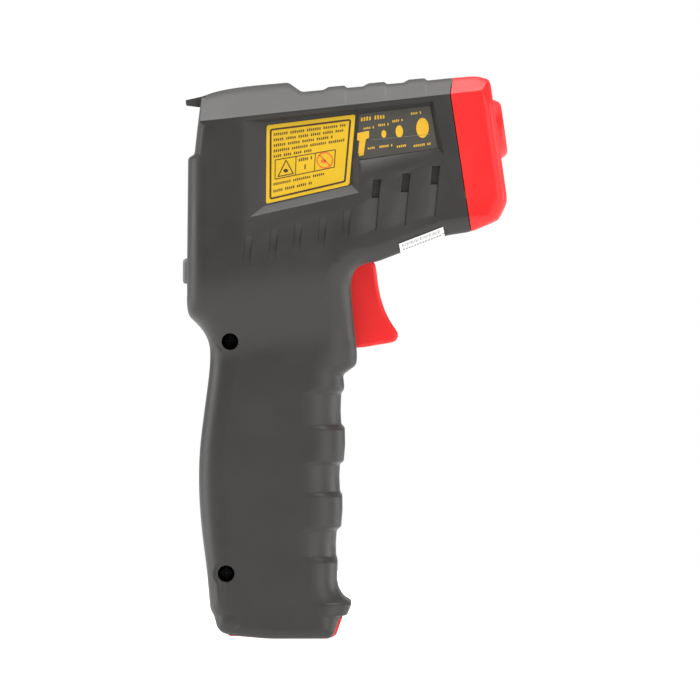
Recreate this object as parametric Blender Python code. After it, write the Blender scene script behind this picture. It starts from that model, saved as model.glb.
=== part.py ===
"""Pistol-shaped infrared thermometer, as an assembly of separate pieces.

The thermometer stands on the foot of its grip.  +X runs towards the nose,
+Y towards its left side, +Z up, and the origin is under the middle of the
whole at the level of the foot.  Numbers in this file are millimetres and
are scaled to metres when a mesh is finished.
"""

from math import cos, hypot, pi, radians, sin

import bmesh
import bpy
from mathutils import Matrix, Vector

MM = 0.001

# Housing
BARREL_HALF = 23.5
WALL = 2.4
GAP = 0.3
WELD = 0.004
EDGE_STEPS = 4
CHAMFER_REAR_X = -45.0
CHAMFER_REAR_Z = 160.9
CHAMFER_SLOPE = 0.11
RIDGE_SLOPE = 0.091
RIDGE_START_X = -13.3
RIDGE_START_Z = 170.1
LIP_HALF = 14.0

# The flank turns in from barrel to grip along a line that rises with the barrel.
WAIST_SLOPE = 0.12
WAIST = [(93.0, 17.2), (98.0, 17.6), (103.0, 18.8), (108.0, 20.6), (113.0, 22.6), (117.0, 23.5)]

# Optics, measured along and across an axis square to the nose face
AXIS_TILT = radians(8.0)
NOSE_FACE = (46.8, 158.4)
BOSS_ROOT = 9.9
BOSS_TIP = 7.2
BOSS_PROUD = 2.75
BEZEL_RADIUS = 6.2
BEZEL_PROUD = 2.1
LENS_RADIUS = 5.2
TUBE_RADIUS = 7.2
LASER_DROP = -17.0

# Trigger
TRIGGER_PIVOT = (4.6, 121.0)
TRIGGER_HALF = 7.0
PIN_RADIUS = 1.0
RUNNING_FIT = 0.08

# Battery compartment
DOOR_PIVOT = (-35.2, 3.0)
DOOR_HALF = 12.1
DOOR_LOBE = 2.3
DOOR_BOSS = 1.9
BATTERY_LOW = (-32.5, -8.75, 3.4)
BATTERY_HIGH = (-6.0, 8.75, 49.8)

# Back panel
PANEL_HALF = 16.0
PANEL_LOW = 106.0
PANEL_HIGH = 148.4
PANEL_BACK = -48.8
PANEL_FRONT = -46.4
KEY_PITCH = 10.4
KEY_HALF = 3.8
KEY_LOW = 110.4
KEY_HIGH = 118.1
KEY_TIP = -50.6
BOARD_BACK = -37.6
BOARD_FRONT = -36.0

SCREW_SPOTS = {"upper": (-35.9, 92.5), "lower": (-37.1, 20.3)}
SCREW_HEAD = 2.35
SCREW_SHANK = 1.4
SCREW_SEAT = 6.3

# Left edge, right edge, lower end and upper end of each slot in the flank
FLANK_SLOTS = [
    (-31.0, -28.4, 116.3, 125.3),
    (-23.3, -20.8, 118.0, 126.9),
    (-16.0, -13.5, 119.7, 128.6),
    (-8.5, -6.0, 121.4, 130.3),
    (-0.8, 1.7, 123.5, 132.4),
    (8.4, 11.2, 127.0, 143.1),
    (17.2, 20.0, 129.3, 145.2),
    (26.1, 28.9, 132.0, 147.3),
]
SLOT_DEPTH = 0.9

WARNING_QUAD = [(-24.6, 135.3), (1.1, 141.3), (2.8, 163.0), (-24.2, 159.5)]
SPOT_QUAD = [(2.9, 148.5), (28.7, 152.6), (26.3, 166.0), (3.6, 163.0)]


# ---------------------------------------------------------------- outline

def chamfer_line(x, z):
    """Lower edge of the long chamfer beside the top."""
    return x, CHAMFER_REAR_Z + CHAMFER_SLOPE * (x - CHAMFER_REAR_X)


def shifted(dx, dz):
    """A rule that puts the side face's edge this far from the outline."""
    return lambda x, z: (x + dx, z + dz)


def ridge(x, rise=0.0):
    """A point on the sloping top, or on a rib that stands on it."""
    return x, RIDGE_START_Z + RIDGE_SLOPE * (x - RIDGE_START_X) + rise


def rib(start, rise=0.75, length=5.2, ramp=1.3):
    """Outline of one low rib across the top."""
    return [
        ridge(start),
        ridge(start + ramp, rise),
        ridge(start + ramp + length, rise),
        ridge(start + ramp + length + 0.6),
    ]


# Stretches of the outline: points, side-face rule, depth of the edge in Y, roundness.
STRETCHES = [
    ([(-44.8, 168.6)], lambda x, z: (-44.4, 161.0), 7.5, 0.0),
    ([(-39.8, 170.3), (-31.4, 171.8), (-17.8, 173.1), ridge(-13.6)], chamfer_line, 8.0, 0.0),
    (rib(-6.9) + rib(5.7) + rib(18.2), chamfer_line, 8.0, 0.0),
    ([(32.0, 174.3), (40.5, 175.0)], chamfer_line, 8.0, 0.0),
    ([(44.4, 174.0), (45.1, 172.5)], lambda x, z: (x - 2.4, z - 3.6), 6.0, 0.5),
    ([(45.8, 167.2), (50.1, 137.6)], shifted(-3.2, 0.0), 3.6, 1.0),
    ([(50.0, 135.3), (47.9, 130.9), (46.9, 129.9)], shifted(-3.6, 1.8), 4.0, 1.0),
    ([(38.9, 126.6), (30.9, 125.4), (9.8, 117.3)], shifted(-1.0, 5.0), 2.5, 0.0),
    ([(7.1, 117.0), (4.5, 116.0), (2.6, 114.4)], shifted(-5.5, 4.5), 6.0, 1.0),
    ([(1.6, 110.5), (2.3, 102.4), (2.8, 96.5), (3.5, 90.3)], lambda x, z: (-7.0, z + 1.0), 8.0, 1.0),
    ([(3.5, 86.7), (3.1, 85.1), (-0.8, 82.1), (-0.3, 77.6)], lambda x, z: (-10.5, z), 9.0, 1.0),
    ([(-1.3, 76.2), (-1.5, 70.4), (-1.3, 66.4)], lambda x, z: (-13.5, z), 12.0, 1.0),
    ([(-0.2, 65.2), (-0.5, 55.2)], lambda x, z: (-10.5, z), 9.0, 1.0),
    ([(-1.7, 54.2), (-1.7, 45.4)], lambda x, z: (-14.0, z), 12.0, 1.0),
    ([(-1.0, 44.3), (-1.3, 34.9)], lambda x, z: (-11.0, z), 9.0, 1.0),
    ([(-2.7, 33.6), (-2.9, 25.4)], lambda x, z: (-14.5, z), 12.0, 1.0),
    ([(-2.4, 23.9), (-2.6, 17.8)], lambda x, z: (-11.0, z), 9.0, 1.0),
    ([(-2.1, 15.3), (-0.6, 12.8), (1.9, 11.2)], lambda x, z: (-11.0, z), 9.0, 1.0),
    ([(1.8, 10.5), (0.5, 7.3), (-1.7, 6.8)], lambda x, z: (-8.5, z), 7.0, 1.0),
    ([(-3.6, 1.3), (-5.0, 0.0)], shifted(-4.0, 3.0), 4.0, 1.0),
    ([(-24.0, 0.0)], shifted(0.0, 3.0), 3.0, 1.0),
    ([(-34.5, 0.9)], shifted(1.5, 3.0), 4.0, 1.0),
    ([(-38.4, 1.8), (-40.0, 3.6)], shifted(5.0, 2.5), 5.0, 1.0),
    ([(-40.9, 7.1), (-42.1, 9.0), (-43.3, 22.6)], shifted(7.0, 0.5), 9.0, 1.0),
    ([(-44.9, 34.5), (-45.7, 46.5), (-45.5, 58.4)], shifted(8.0, 0.0), 10.0, 1.0),
    ([(-44.0, 70.4), (-42.4, 82.2), (-42.0, 88.8)], shifted(8.0, 0.0), 10.0, 1.0),
    ([(-42.5, 92.4), (-44.1, 95.6), (-46.3, 98.1)], shifted(7.0, 2.0), 9.0, 1.0),
    ([(-48.6, 100.2), (-49.3, 103.1)], shifted(6.5, 3.0), 7.5, 1.0),
    ([(-49.2, 119.6), (-48.9, 149.5)], shifted(6.0, 0.0), 7.0, 1.0),
    ([(-46.9, 150.7)], shifted(5.0, 0.0), 7.0, 1.0),
]


def side_profile():
    """Every outline point with its side-face point, edge depth and roundness."""
    profile = []
    for points, rule, depth, roundness in STRETCHES:
        for x, z in points:
            side_x, side_z = rule(x, z)
            profile.append((x, z, side_x, side_z, depth, roundness))
    return profile


def half_width(level):
    """Half the housing's width at a level measured square to the barrel."""
    if level <= WAIST[0][0]:
        return WAIST[0][1]
    for (low, low_width), (high, high_width) in zip(WAIST, WAIST[1:]):
        if level <= high:
            return low_width + (high_width - low_width) * (level - low) / (high - low)
    return BARREL_HALF


def ring_points(profile, step, wall):
    """Points of one ring round the housing's edge, from outline to side face."""
    share = step / EDGE_STEPS
    turn = share * pi / 2
    points = []
    for x, z, side_x, side_z, depth, roundness in profile:
        length = hypot(side_x - x, side_z - z)
        along = Vector((side_x - x, 0, side_z - z)) / length
        inward = roundness * (1 - cos(turn)) + (1 - roundness) * share
        outward = roundness * sin(turn) + (1 - roundness) * share
        travel = wall + inward * (length - wall / 2)
        edge_depth = depth - wall / 2
        y = BARREL_HALF - wall - edge_depth * (1 - outward)
        points.append(Vector((x, y, z)) + along * travel)
    return points


def face_outwards(bm):
    """Point every face of a closed mesh outwards."""
    bmesh.ops.recalc_face_normals(bm, faces=bm.faces)
    if bm.calc_volume(signed=True) < 0:
        bmesh.ops.reverse_faces(bm, faces=bm.faces)


def housing_solid(first_y, wall=0.0, both_sides=False, side=1):
    """Closed solid of the housing, or of the hollow inside its wall."""
    profile = side_profile()
    rings = [ring_points(profile, step, wall) for step in range(EDGE_STEPS + 1)]
    if both_sides:
        mirrored = [[Vector((p.x, -p.y, p.z)) for p in ring] for ring in reversed(rings)]
        rings = mirrored + rings
    else:
        rings.insert(0, [Vector((p.x, first_y, p.z)) for p in rings[0]])
    bm = bmesh.new()
    loops = [[bm.verts.new(point) for point in ring] for ring in rings]
    count = len(profile)
    for near, far in zip(loops, loops[1:]):
        for i in range(count):
            j = (i + 1) % count
            bm.faces.new((near[i], near[j], far[j], far[i]))
    bm.faces.new(loops[0])
    bm.faces.new(loops[-1])
    for level, _ in WAIST:
        bmesh.ops.bisect_plane(
            bm,
            geom=bm.verts[:] + bm.edges[:] + bm.faces[:],
            plane_co=(0, 0, level),
            plane_no=(-WAIST_SLOPE, 0, 1),
        )
    for vert in bm.verts:
        narrowing = half_width(vert.co.z - WAIST_SLOPE * vert.co.x) / BARREL_HALF
        vert.co.y *= narrowing if abs(vert.co.y) > 1.5 else 1.0
        vert.co.y *= side
    face_outwards(bm)
    return bm


# ------------------------------------------------------------- primitives

def box(low, high):
    """Box between two corners."""
    bm = bmesh.new()
    bmesh.ops.create_cube(bm, size=1.0)
    size = Vector(high) - Vector(low)
    middle = (Vector(high) + Vector(low)) / 2
    bmesh.ops.scale(bm, vec=size, verts=bm.verts)
    bmesh.ops.translate(bm, vec=middle, verts=bm.verts)
    return bm


def prism(outline, y_low, y_high):
    """Outline in X and Z, extruded from one Y to another."""
    bm = bmesh.new()
    base = bm.faces.new([bm.verts.new((x, y_low, z)) for x, z in outline])
    grown = bmesh.ops.extrude_face_region(bm, geom=[base])
    moved = [item for item in grown["geom"] if isinstance(item, bmesh.types.BMVert)]
    bmesh.ops.translate(bm, vec=(0, y_high - y_low, 0), verts=moved)
    face_outwards(bm)
    return bm


def turned(profile, base, direction, facets=24):
    """Round piece: (radius, distance) points turned about a line from base."""
    bm = bmesh.new()
    verts = [bm.verts.new((radius, 0, distance)) for radius, distance in profile]
    edges = [bm.edges.new(pair) for pair in zip(verts, verts[1:])]
    if profile[0][0] > 0:
        edges.append(bm.edges.new((verts[-1], verts[0])))
    bmesh.ops.spin(
        bm,
        geom=verts + edges,
        cent=(0, 0, 0),
        axis=(0, 0, 1),
        angle=2 * pi,
        steps=facets,
        use_merge=True,
    )
    bmesh.ops.remove_doubles(bm, verts=bm.verts, dist=0.0001)
    face_outwards(bm)
    turn = Vector((0, 0, 1)).rotation_difference(Vector(direction)).to_matrix().to_4x4()
    bmesh.ops.transform(bm, matrix=Matrix.Translation(base) @ turn, verts=bm.verts)
    return bm


def rod(radius, start, length, direction, facets=24):
    """Plain cylinder."""
    return turned([(0, 0), (radius, 0), (radius, length), (0, length)], start, direction, facets)


def cross_rod(radius, centre, y_low, y_high, facets=24):
    """Cylinder along Y at an X and Z."""
    return rod(radius, (centre[0], y_low, centre[1]), y_high - y_low, (0, 1, 0), facets)


def arc(centre, radius, start, end, steps):
    """Points on an arc, angles in degrees anticlockwise from +X."""
    points = []
    for step in range(steps + 1):
        angle = radians(start + (end - start) * step / steps)
        points.append((centre[0] + radius * cos(angle), centre[1] + radius * sin(angle)))
    return points


def on_axis(along, across=0.0):
    """World point this far along and across the optical axis."""
    x = NOSE_FACE[0] + along * cos(AXIS_TILT) - across * sin(AXIS_TILT)
    z = NOSE_FACE[1] + along * sin(AXIS_TILT) + across * cos(AXIS_TILT)
    return Vector((x, 0, z))


def optic(profile, across=0.0, facets=28):
    """Round piece about the optical axis; distances are measured from the nose face."""
    direction = (cos(AXIS_TILT), 0, sin(AXIS_TILT))
    return turned(profile, on_axis(0, across), direction, facets)


def grown_quad(quad, margin):
    """Quadrilateral with each corner moved away from the middle."""
    middle_x = sum(x for x, _ in quad) / 4
    middle_z = sum(z for _, z in quad) / 4
    grown = []
    for x, z in quad:
        step_x = margin if x > middle_x else -margin
        step_z = margin if z > middle_z else -margin
        grown.append((x + step_x, z + step_z))
    return grown


# ------------------------------------------------------ objects and finish

def finish(name, colour, roughness=0.5, metallic=0.0, alpha=1.0):
    """Principled material."""
    material = bpy.data.materials.new(name)
    material.use_nodes = True
    shader = material.node_tree.nodes["Principled BSDF"]
    shader.inputs["Base Color"].default_value = (*colour, 1.0)
    shader.inputs["Roughness"].default_value = roughness
    shader.inputs["Metallic"].default_value = metallic
    shader.inputs["Alpha"].default_value = alpha
    return material


def piece(name, bm, material=None, pivot=(0, 0, 0)):
    """Object from a mesh in millimetres, with its origin at a pivot."""
    bmesh.ops.translate(bm, vec=-Vector(pivot), verts=bm.verts)
    bmesh.ops.scale(bm, vec=(MM, MM, MM), verts=bm.verts)
    mesh = bpy.data.meshes.new(name)
    bm.to_mesh(mesh)
    bm.free()
    if material:
        mesh.materials.append(material)
    mesh.shade_smooth()
    mesh.set_sharp_from_angle(angle=radians(32.0))
    thing = bpy.data.objects.new(name, mesh)
    thing.location = Vector(pivot) * MM
    bpy.context.scene.collection.objects.link(thing)
    return thing


def shape(target, tools, operation, solver="EXACT"):
    """Cut, join or intersect a piece with tool meshes, one after the other."""
    for bm in tools:
        tool = piece("tool", bm)
        step = target.modifiers.new("Shape", "BOOLEAN")
        step.operation = operation
        step.solver = solver
        step.object = tool
        depsgraph = bpy.context.evaluated_depsgraph_get()
        shaped = bpy.data.meshes.new_from_object(target.evaluated_get(depsgraph))
        plain = target.data
        target.modifiers.clear()
        target.data = shaped
        bpy.data.meshes.remove(plain)
        bpy.data.objects.remove(tool)
    target.data.name = target.name
    return target


def weld(target):
    """Merge points closer than a few thousandths of a millimetre."""
    bm = bmesh.new()
    bm.from_mesh(target.data)
    bmesh.ops.triangulate(bm, faces=bm.faces)
    bmesh.ops.remove_doubles(bm, verts=bm.verts, dist=WELD * MM)
    bmesh.ops.dissolve_degenerate(bm, edges=bm.edges, dist=WELD * MM)
    bm.to_mesh(target.data)
    bm.free()
    return target


def soften(target, width, segments=2, angle=35.0):
    """Round a piece's edges."""
    edge = target.modifiers.new("Edges", "BEVEL")
    edge.width = width * MM
    edge.segments = segments
    edge.limit_method = "ANGLE"
    edge.angle_limit = radians(angle)
    return target


# ---------------------------------------------------------------- housing

def nose_region(margin):
    """Everything in front of the seam between shells and nose cap."""
    seam = [(33.3, 182.0), (33.3, 174.5), (32.5, 169.4), (38.9, 126.9), (39.2, 120.0)]
    outline = [(x + margin, z) for x, z in seam] + [(62.0, 120.0), (62.0, 182.0)]
    return prism(outline, -40.0, 40.0)


def mirrored_box(low, high, side):
    """Box given for the left side, put on either side."""
    if side > 0:
        return box(low, high)
    return box((low[0], -high[1], low[2]), (high[0], -low[1], high[2]))


def side_rod(radius, centre, inner, outer, side):
    """Cylinder along Y given for the left side, put on either side."""
    low, high = sorted((inner * side, outer * side))
    return cross_rod(radius, centre, low, high)


def cradle(side):
    """Plate that holds the lens tube and the laser module."""
    return mirrored_box((29.0, 0.15, 131.0), (31.0, 22.0, 169.5), side)


def lip():
    """Thin sun hood over the display."""
    return prism([(-49.6, 166.0), (-43.4, 165.0), (-43.4, 168.9), (-49.6, 167.4)], -LIP_HALF, LIP_HALF)


def door_opening():
    """Room for the battery door in the foot."""
    outline = [(-37.8, -1.0), (4.0, -1.0), (4.0, 7.0), (-5.4, 7.0), (-5.4, 6.0), (-37.8, 6.0)]
    return prism(outline, -DOOR_HALF - GAP, DOOR_HALF + GAP)


def trigger_opening():
    """Slot that the trigger swings in."""
    outline = [(-7.0, 90.0), (7.0, 90.0), (12.0, 104.0), (10.2, 117.0), (10.2, 125.0), (-7.0, 125.0)]
    half = TRIGGER_HALF + 0.4
    return prism(outline, -half, half)


def shell_half(name, side, material):
    """One half of the clamshell housing, side +1 left and -1 right."""
    shell = piece(name, housing_solid(GAP / 2, side=side), material)
    hood = lip()
    split = mirrored_box((-60, GAP / 2, 0), (60, 40, 200), side)
    shape(shell, [shape_of_hood(hood, split)], "UNION", "MANIFOLD")
    shape(shell, [housing_solid(-1.0, WALL, side=side), nose_region(-GAP / 2)], "DIFFERENCE", "MANIFOLD")
    supports = [cradle(side)]
    for board_face in (BOARD_BACK - GAP - 1.4, BOARD_FRONT + GAP):
        supports.append(mirrored_box((board_face, 15.2, 108.5), (board_face + 1.4, 22.0, 156.0), side))
    for rail in (-14.6, -11.0):
        supports.append(mirrored_box((rail, 5.6, 88.0), (rail + 1.3, 16.4, 109.0), side))
    for centre in SCREW_SPOTS.values():
        supports.append(side_rod(4.2 if side < 0 else 3.4, centre, GAP / 2, 16.2, side))
    supports.append(side_rod(3.0, TRIGGER_PIVOT, TRIGGER_HALF + 0.6, 22.0, side))
    shape(shell, supports, "UNION", "MANIFOLD")
    cuts = [door_opening(), trigger_opening()]
    cuts.append(optic([(0, -60), (TUBE_RADIUS + GAP, -60), (TUBE_RADIUS + GAP, 9), (0, 9)]))
    cuts.append(optic([(0, -25), (3.3, -25), (3.3, 9), (0, 9)], LASER_DROP))
    back = PANEL_HALF + GAP
    cuts.append(box((-60, -back, PANEL_LOW - GAP), (-45.9, back, PANEL_HIGH + GAP)))
    cuts.append(side_rod(PIN_RADIUS + 0.1, TRIGGER_PIVOT, 0, 10.6, side))
    shape(shell, cuts, "DIFFERENCE", "MANIFOLD")
    shape(shell, [side_rod(DOOR_BOSS, DOOR_PIVOT, DOOR_HALF + GAP, 14.9, side)], "UNION", "MANIFOLD")
    holes = [side_rod(PIN_RADIUS + 0.1, DOOR_PIVOT, 0, 14.3, side)]
    for centre in SCREW_SPOTS.values():
        if side < 0:
            holes.append(side_rod(2.65, centre, SCREW_SEAT - GAP, 30, side))
            holes.append(side_rod(SCREW_SHANK + GAP, centre, -1, 8, side))
        else:
            holes.append(side_rod(SCREW_SHANK + GAP, centre, -1, 9, side))
    for left, right, low, high in FLANK_SLOTS:
        inner = BARREL_HALF - SLOT_DEPTH
        holes.append(mirrored_box((left, inner, low), (right, 30, high), side))
    if side < 0:
        holes.append(prism(grown_quad(WARNING_QUAD, 0.35), -30, -BARREL_HALF + 0.7))
        holes.append(prism(grown_quad(SPOT_QUAD, 0.35), -30, -BARREL_HALF + 1.2))
    return weld(shape(shell, holes, "DIFFERENCE", "MANIFOLD"))


def shape_of_hood(hood, split):
    """The half of the sun hood that belongs to one shell."""
    part_hood = shape(piece("hood", hood), [split], "INTERSECT")
    bm = bmesh.new()
    bm.from_mesh(part_hood.data)
    bmesh.ops.scale(bm, vec=(1 / MM, 1 / MM, 1 / MM), verts=bm.verts)
    bpy.data.objects.remove(part_hood)
    return bm


def nose_cap(material):
    """Front cap with a round boss for the lens bezel and an eye for the laser."""
    cap = piece("nose_cap", housing_solid(0, both_sides=True), material)
    shape(cap, [nose_region(GAP / 2)], "INTERSECT", "MANIFOLD")
    boss = [
        (0, -2.0), (BOSS_ROOT, -2.0), (BOSS_ROOT, -0.4), (BOSS_TIP + 1.3, BOSS_PROUD - 0.8),
        (BOSS_TIP + 0.6, BOSS_PROUD - 0.2), (BOSS_TIP, BOSS_PROUD), (0, BOSS_PROUD),
    ]
    shape(cap, [optic(boss)], "UNION", "MANIFOLD")
    window = BEZEL_RADIUS + GAP
    cuts = [
        housing_solid(0, WALL, both_sides=True),
        optic([(0, -12), (window, -12), (window, 9), (0, 9)]),
        optic([(0, -12), (2.0, -12), (2.0, 9), (0, 9)], LASER_DROP),
    ]
    return shape(cap, cuts, "DIFFERENCE", "MANIFOLD")


# ----------------------------------------------------------------- optics

def optics(black, glass, metal, brass, board):
    """Bezel, lens, tube, sensor and laser along the barrel."""
    seat = LENS_RADIUS + GAP
    bezel = [
        (4.6, -0.6), (5.4, BEZEL_PROUD), (BEZEL_RADIUS - 0.3, BEZEL_PROUD), (BEZEL_RADIUS, BEZEL_PROUD - 0.3),
        (BEZEL_RADIUS, -3.0), (9.0, -3.0), (9.0, -4.6), (seat, -4.6), (seat, -0.6),
    ]
    piece("lens_bezel", optic(bezel), black)
    lens = [(0, -2.9), (LENS_RADIUS, -2.9), (LENS_RADIUS, -1.6)]
    lens += [(4.4, -1.2), (3.0, -0.8), (1.5, -0.55), (0, -0.45)]
    piece("ir_lens", optic(lens), glass)
    tube = [
        (5.7, -4.9), (TUBE_RADIUS, -4.9), (TUBE_RADIUS, -30.0), (4.9, -30.0), (4.9, -26.4), (5.7, -26.4),
    ]
    piece("lens_tube", optic(tube), black)
    can = [(0, -32.0), (4.55, -32.0), (4.55, -31.0), (4.1, -31.0), (4.1, -26.0), (3.6, -25.5), (0, -25.5)]
    piece("ir_sensor", optic(can), metal)
    piece("sensor_board", optic([(0, -33.9), (7.0, -33.9), (7.0, -32.3), (0, -32.3)]), board)
    piece("laser_window", optic([(0, -3.6), (2.9, -3.6), (2.9, -2.8), (0, -2.8)], LASER_DROP), glass)
    module = [
        (1.2, -3.9), (2.6, -3.9), (3.0, -4.4), (3.0, -21.0), (2.4, -21.0), (2.4, -22.4), (1.2, -22.4),
    ]
    piece("laser_module", optic(module, LASER_DROP), brass)


# ------------------------------------------------------------- back panel

def rounded_rectangle(half_y, low, high, radius, steps=3):
    """Points in Y and Z of a rectangle with round corners."""
    points = []
    corners = [
        (half_y - radius, low + radius, -90), (half_y - radius, high - radius, 0),
        (-half_y + radius, high - radius, 90), (-half_y + radius, low + radius, 180),
    ]
    for y, z, start in corners:
        points += arc((y, z), radius, start, start + 90, steps)
    return points


def plate(outline, x_low, x_high, y_shift=0.0):
    """Outline in Y and Z, extruded along X."""
    bm = bmesh.new()
    base = bm.faces.new([bm.verts.new((x_low, y + y_shift, z)) for y, z in outline])
    grown = bmesh.ops.extrude_face_region(bm, geom=[base])
    moved = [item for item in grown["geom"] if isinstance(item, bmesh.types.BMVert)]
    bmesh.ops.translate(bm, vec=(x_high - x_low, 0, 0), verts=moved)
    face_outwards(bm)
    return bm


def key(name, y, material):
    """Push key with a flange behind the panel and a stem to its switch."""
    cap = plate(rounded_rectangle(KEY_HALF, KEY_LOW, KEY_HIGH, 1.6), KEY_TIP, -45.6, y)
    middle = (KEY_LOW + KEY_HIGH) / 2
    button = piece(name, cap, material, (KEY_TIP, y, middle))
    flange = plate(rounded_rectangle(KEY_HALF + 0.9, KEY_LOW - 0.9, KEY_HIGH + 0.9, 1.6), -46.1, -45.1, y)
    stem = rod(1.5, (-45.5, y, middle), 3.3, (1, 0, 0), 12)
    return shape(button, [flange, stem], "UNION")


def key_switch(name, y, material):
    """Small dome switch on the main board."""
    middle = (KEY_LOW + KEY_HIGH) / 2
    case = box((-40.7, y - 2.25, middle - 2.25), (BOARD_BACK - GAP, y + 2.25, middle + 2.25))
    switch = piece(name, case, material)
    return shape(switch, [rod(1.0, (-41.3, y, middle), 1.0, (1, 0, 0), 12)], "UNION")


def back_group(black, clear, grey, board, rubber, metal):
    """Panel, window, display, keys and main board."""
    outline = rounded_rectangle(PANEL_HALF, PANEL_LOW, PANEL_HIGH, 2.0)
    panel = piece("rear_panel", plate(outline, PANEL_BACK, PANEL_FRONT), black)
    cuts = [plate(rounded_rectangle(13.5, 123.7, 145.9, 1.5), -52, -40)]
    key_places = {"left": KEY_PITCH, "middle": 0.0, "right": -KEY_PITCH}
    for y in key_places.values():
        hole = rounded_rectangle(KEY_HALF + GAP, KEY_LOW - GAP, KEY_HIGH + GAP, 1.7)
        cuts.append(plate(hole, -52, -40, y))
    shape(panel, cuts, "DIFFERENCE")
    piece("display_window", plate(rounded_rectangle(13.2, 124.0, 145.6, 1.4), -48.5, -46.9), clear)
    piece("lcd_module", box((-45.8, -15.0, 122.0), (-43.0, 15.0, 147.6)), grey)
    piece("main_board", box((BOARD_BACK, -17.0, 107.5), (BOARD_FRONT, 17.0, 158.0)), board)
    piece("buzzer", rod(6.0, (BOARD_FRONT + GAP, 7.6, 131.0), 4.6, (1, 0, 0), 20), black)
    for place, y in key_places.items():
        key("key_" + place, y, rubber)
        key_switch("key_switch_" + place, y, metal)


# ----------------------------------------------------------- trigger group

def trigger(material):
    """Curved trigger blade with an eye round its pin."""
    blade = [
        (9.2, 116.9), (7.0, 118.4), (2.6, 117.8), (0.3, 114.5), (-1.0, 112.0), (-2.2, 104.0), (-1.6, 93.5),
        (-0.4, 90.5),
        (5.4, 90.4), (9.5, 91.2), (14.8, 92.0), (16.0, 92.9), (16.5, 94.1), (16.1, 95.4), (14.3, 97.9),
        (12.4, 101.5), (10.9, 106.0), (10.1, 110.5), (9.8, 113.4),
    ]
    pivot = (TRIGGER_PIVOT[0], 0, TRIGGER_PIVOT[1])
    lever = piece("trigger", prism(blade, -TRIGGER_HALF, TRIGGER_HALF), material)
    soften(lever, 1.1, 2, 50.0)
    eye = prism(
        arc(TRIGGER_PIVOT, 3.0, -30, 210, 12) + [(1.6, 116.5), (7.6, 116.5)],
        -4.0,
        4.0,
    )
    apply_edges(lever)
    shape(lever, [eye], "UNION")
    hole = cross_rod(PIN_RADIUS + RUNNING_FIT, TRIGGER_PIVOT, -9.0, 9.0)
    shape(lever, [hole], "DIFFERENCE")
    return move_origin(lever, pivot)


def apply_edges(target):
    """Turn a piece's live modifiers into its mesh."""
    depsgraph = bpy.context.evaluated_depsgraph_get()
    shaped = bpy.data.meshes.new_from_object(target.evaluated_get(depsgraph))
    plain = target.data
    target.modifiers.clear()
    target.data = shaped
    bpy.data.meshes.remove(plain)
    target.data.name = target.name


def move_origin(target, pivot):
    """Put a piece's origin on its joint's axis without moving the piece."""
    target.data.transform(Matrix.Translation(-Vector(pivot) * MM))
    target.location = Vector(pivot) * MM
    return target


def tube_along(name, points, radius, material, closeness=1):
    """Round wire along points, with closed ends."""
    curve = bpy.data.curves.new(name, "CURVE")
    curve.dimensions = "3D"
    curve.bevel_depth = radius * MM
    curve.bevel_resolution = closeness
    curve.use_fill_caps = True
    spline = curve.splines.new("POLY")
    spline.points.add(len(points) - 1)
    for control, point in zip(spline.points, points):
        control.co = (*(Vector(point) * MM), 1.0)
    curve.materials.append(material)
    wire = bpy.data.objects.new(name, curve)
    bpy.context.scene.collection.objects.link(wire)
    return wire


def spring_points():
    """Torsion spring beside the trigger's eye: leg, coil, leg."""
    centre_x, centre_z = TRIGGER_PIVOT
    radius = 2.0
    coil_start = 4.7
    turns = 3
    points = [(-3.0, coil_start, 110.0)]
    per_turn = 12
    for step in range(turns * per_turn + 1):
        angle = pi - 2 * pi * step / per_turn
        y = coil_start + 0.75 * step / per_turn
        points.append((centre_x + radius * cos(angle), y, centre_z + radius * sin(angle)))
    points.append((centre_x - radius, coil_start + 0.75 * turns, centre_z + 4.5))
    return points


def trigger_group(red, steel, black, board):
    """Trigger, pin, spring and switch."""
    trigger(red)
    piece("trigger_pin", cross_rod(PIN_RADIUS, TRIGGER_PIVOT, -10.2, 10.2), steel)
    tube_along("trigger_spring", spring_points(), 0.25, steel)
    case = piece("trigger_switch", box((-11.0, -3.0, 98.0), (-5.6, 3.0, 104.0)), black)
    shape(case, [rod(1.0, (-5.9, 0, 101.0), 1.5, (1, 0, 0), 12)], "UNION")
    piece("switch_board", box((-12.9, -7.6, 91.0), (-11.3, 7.6, 108.0)), board)


# ---------------------------------------------------------- battery group

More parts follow.
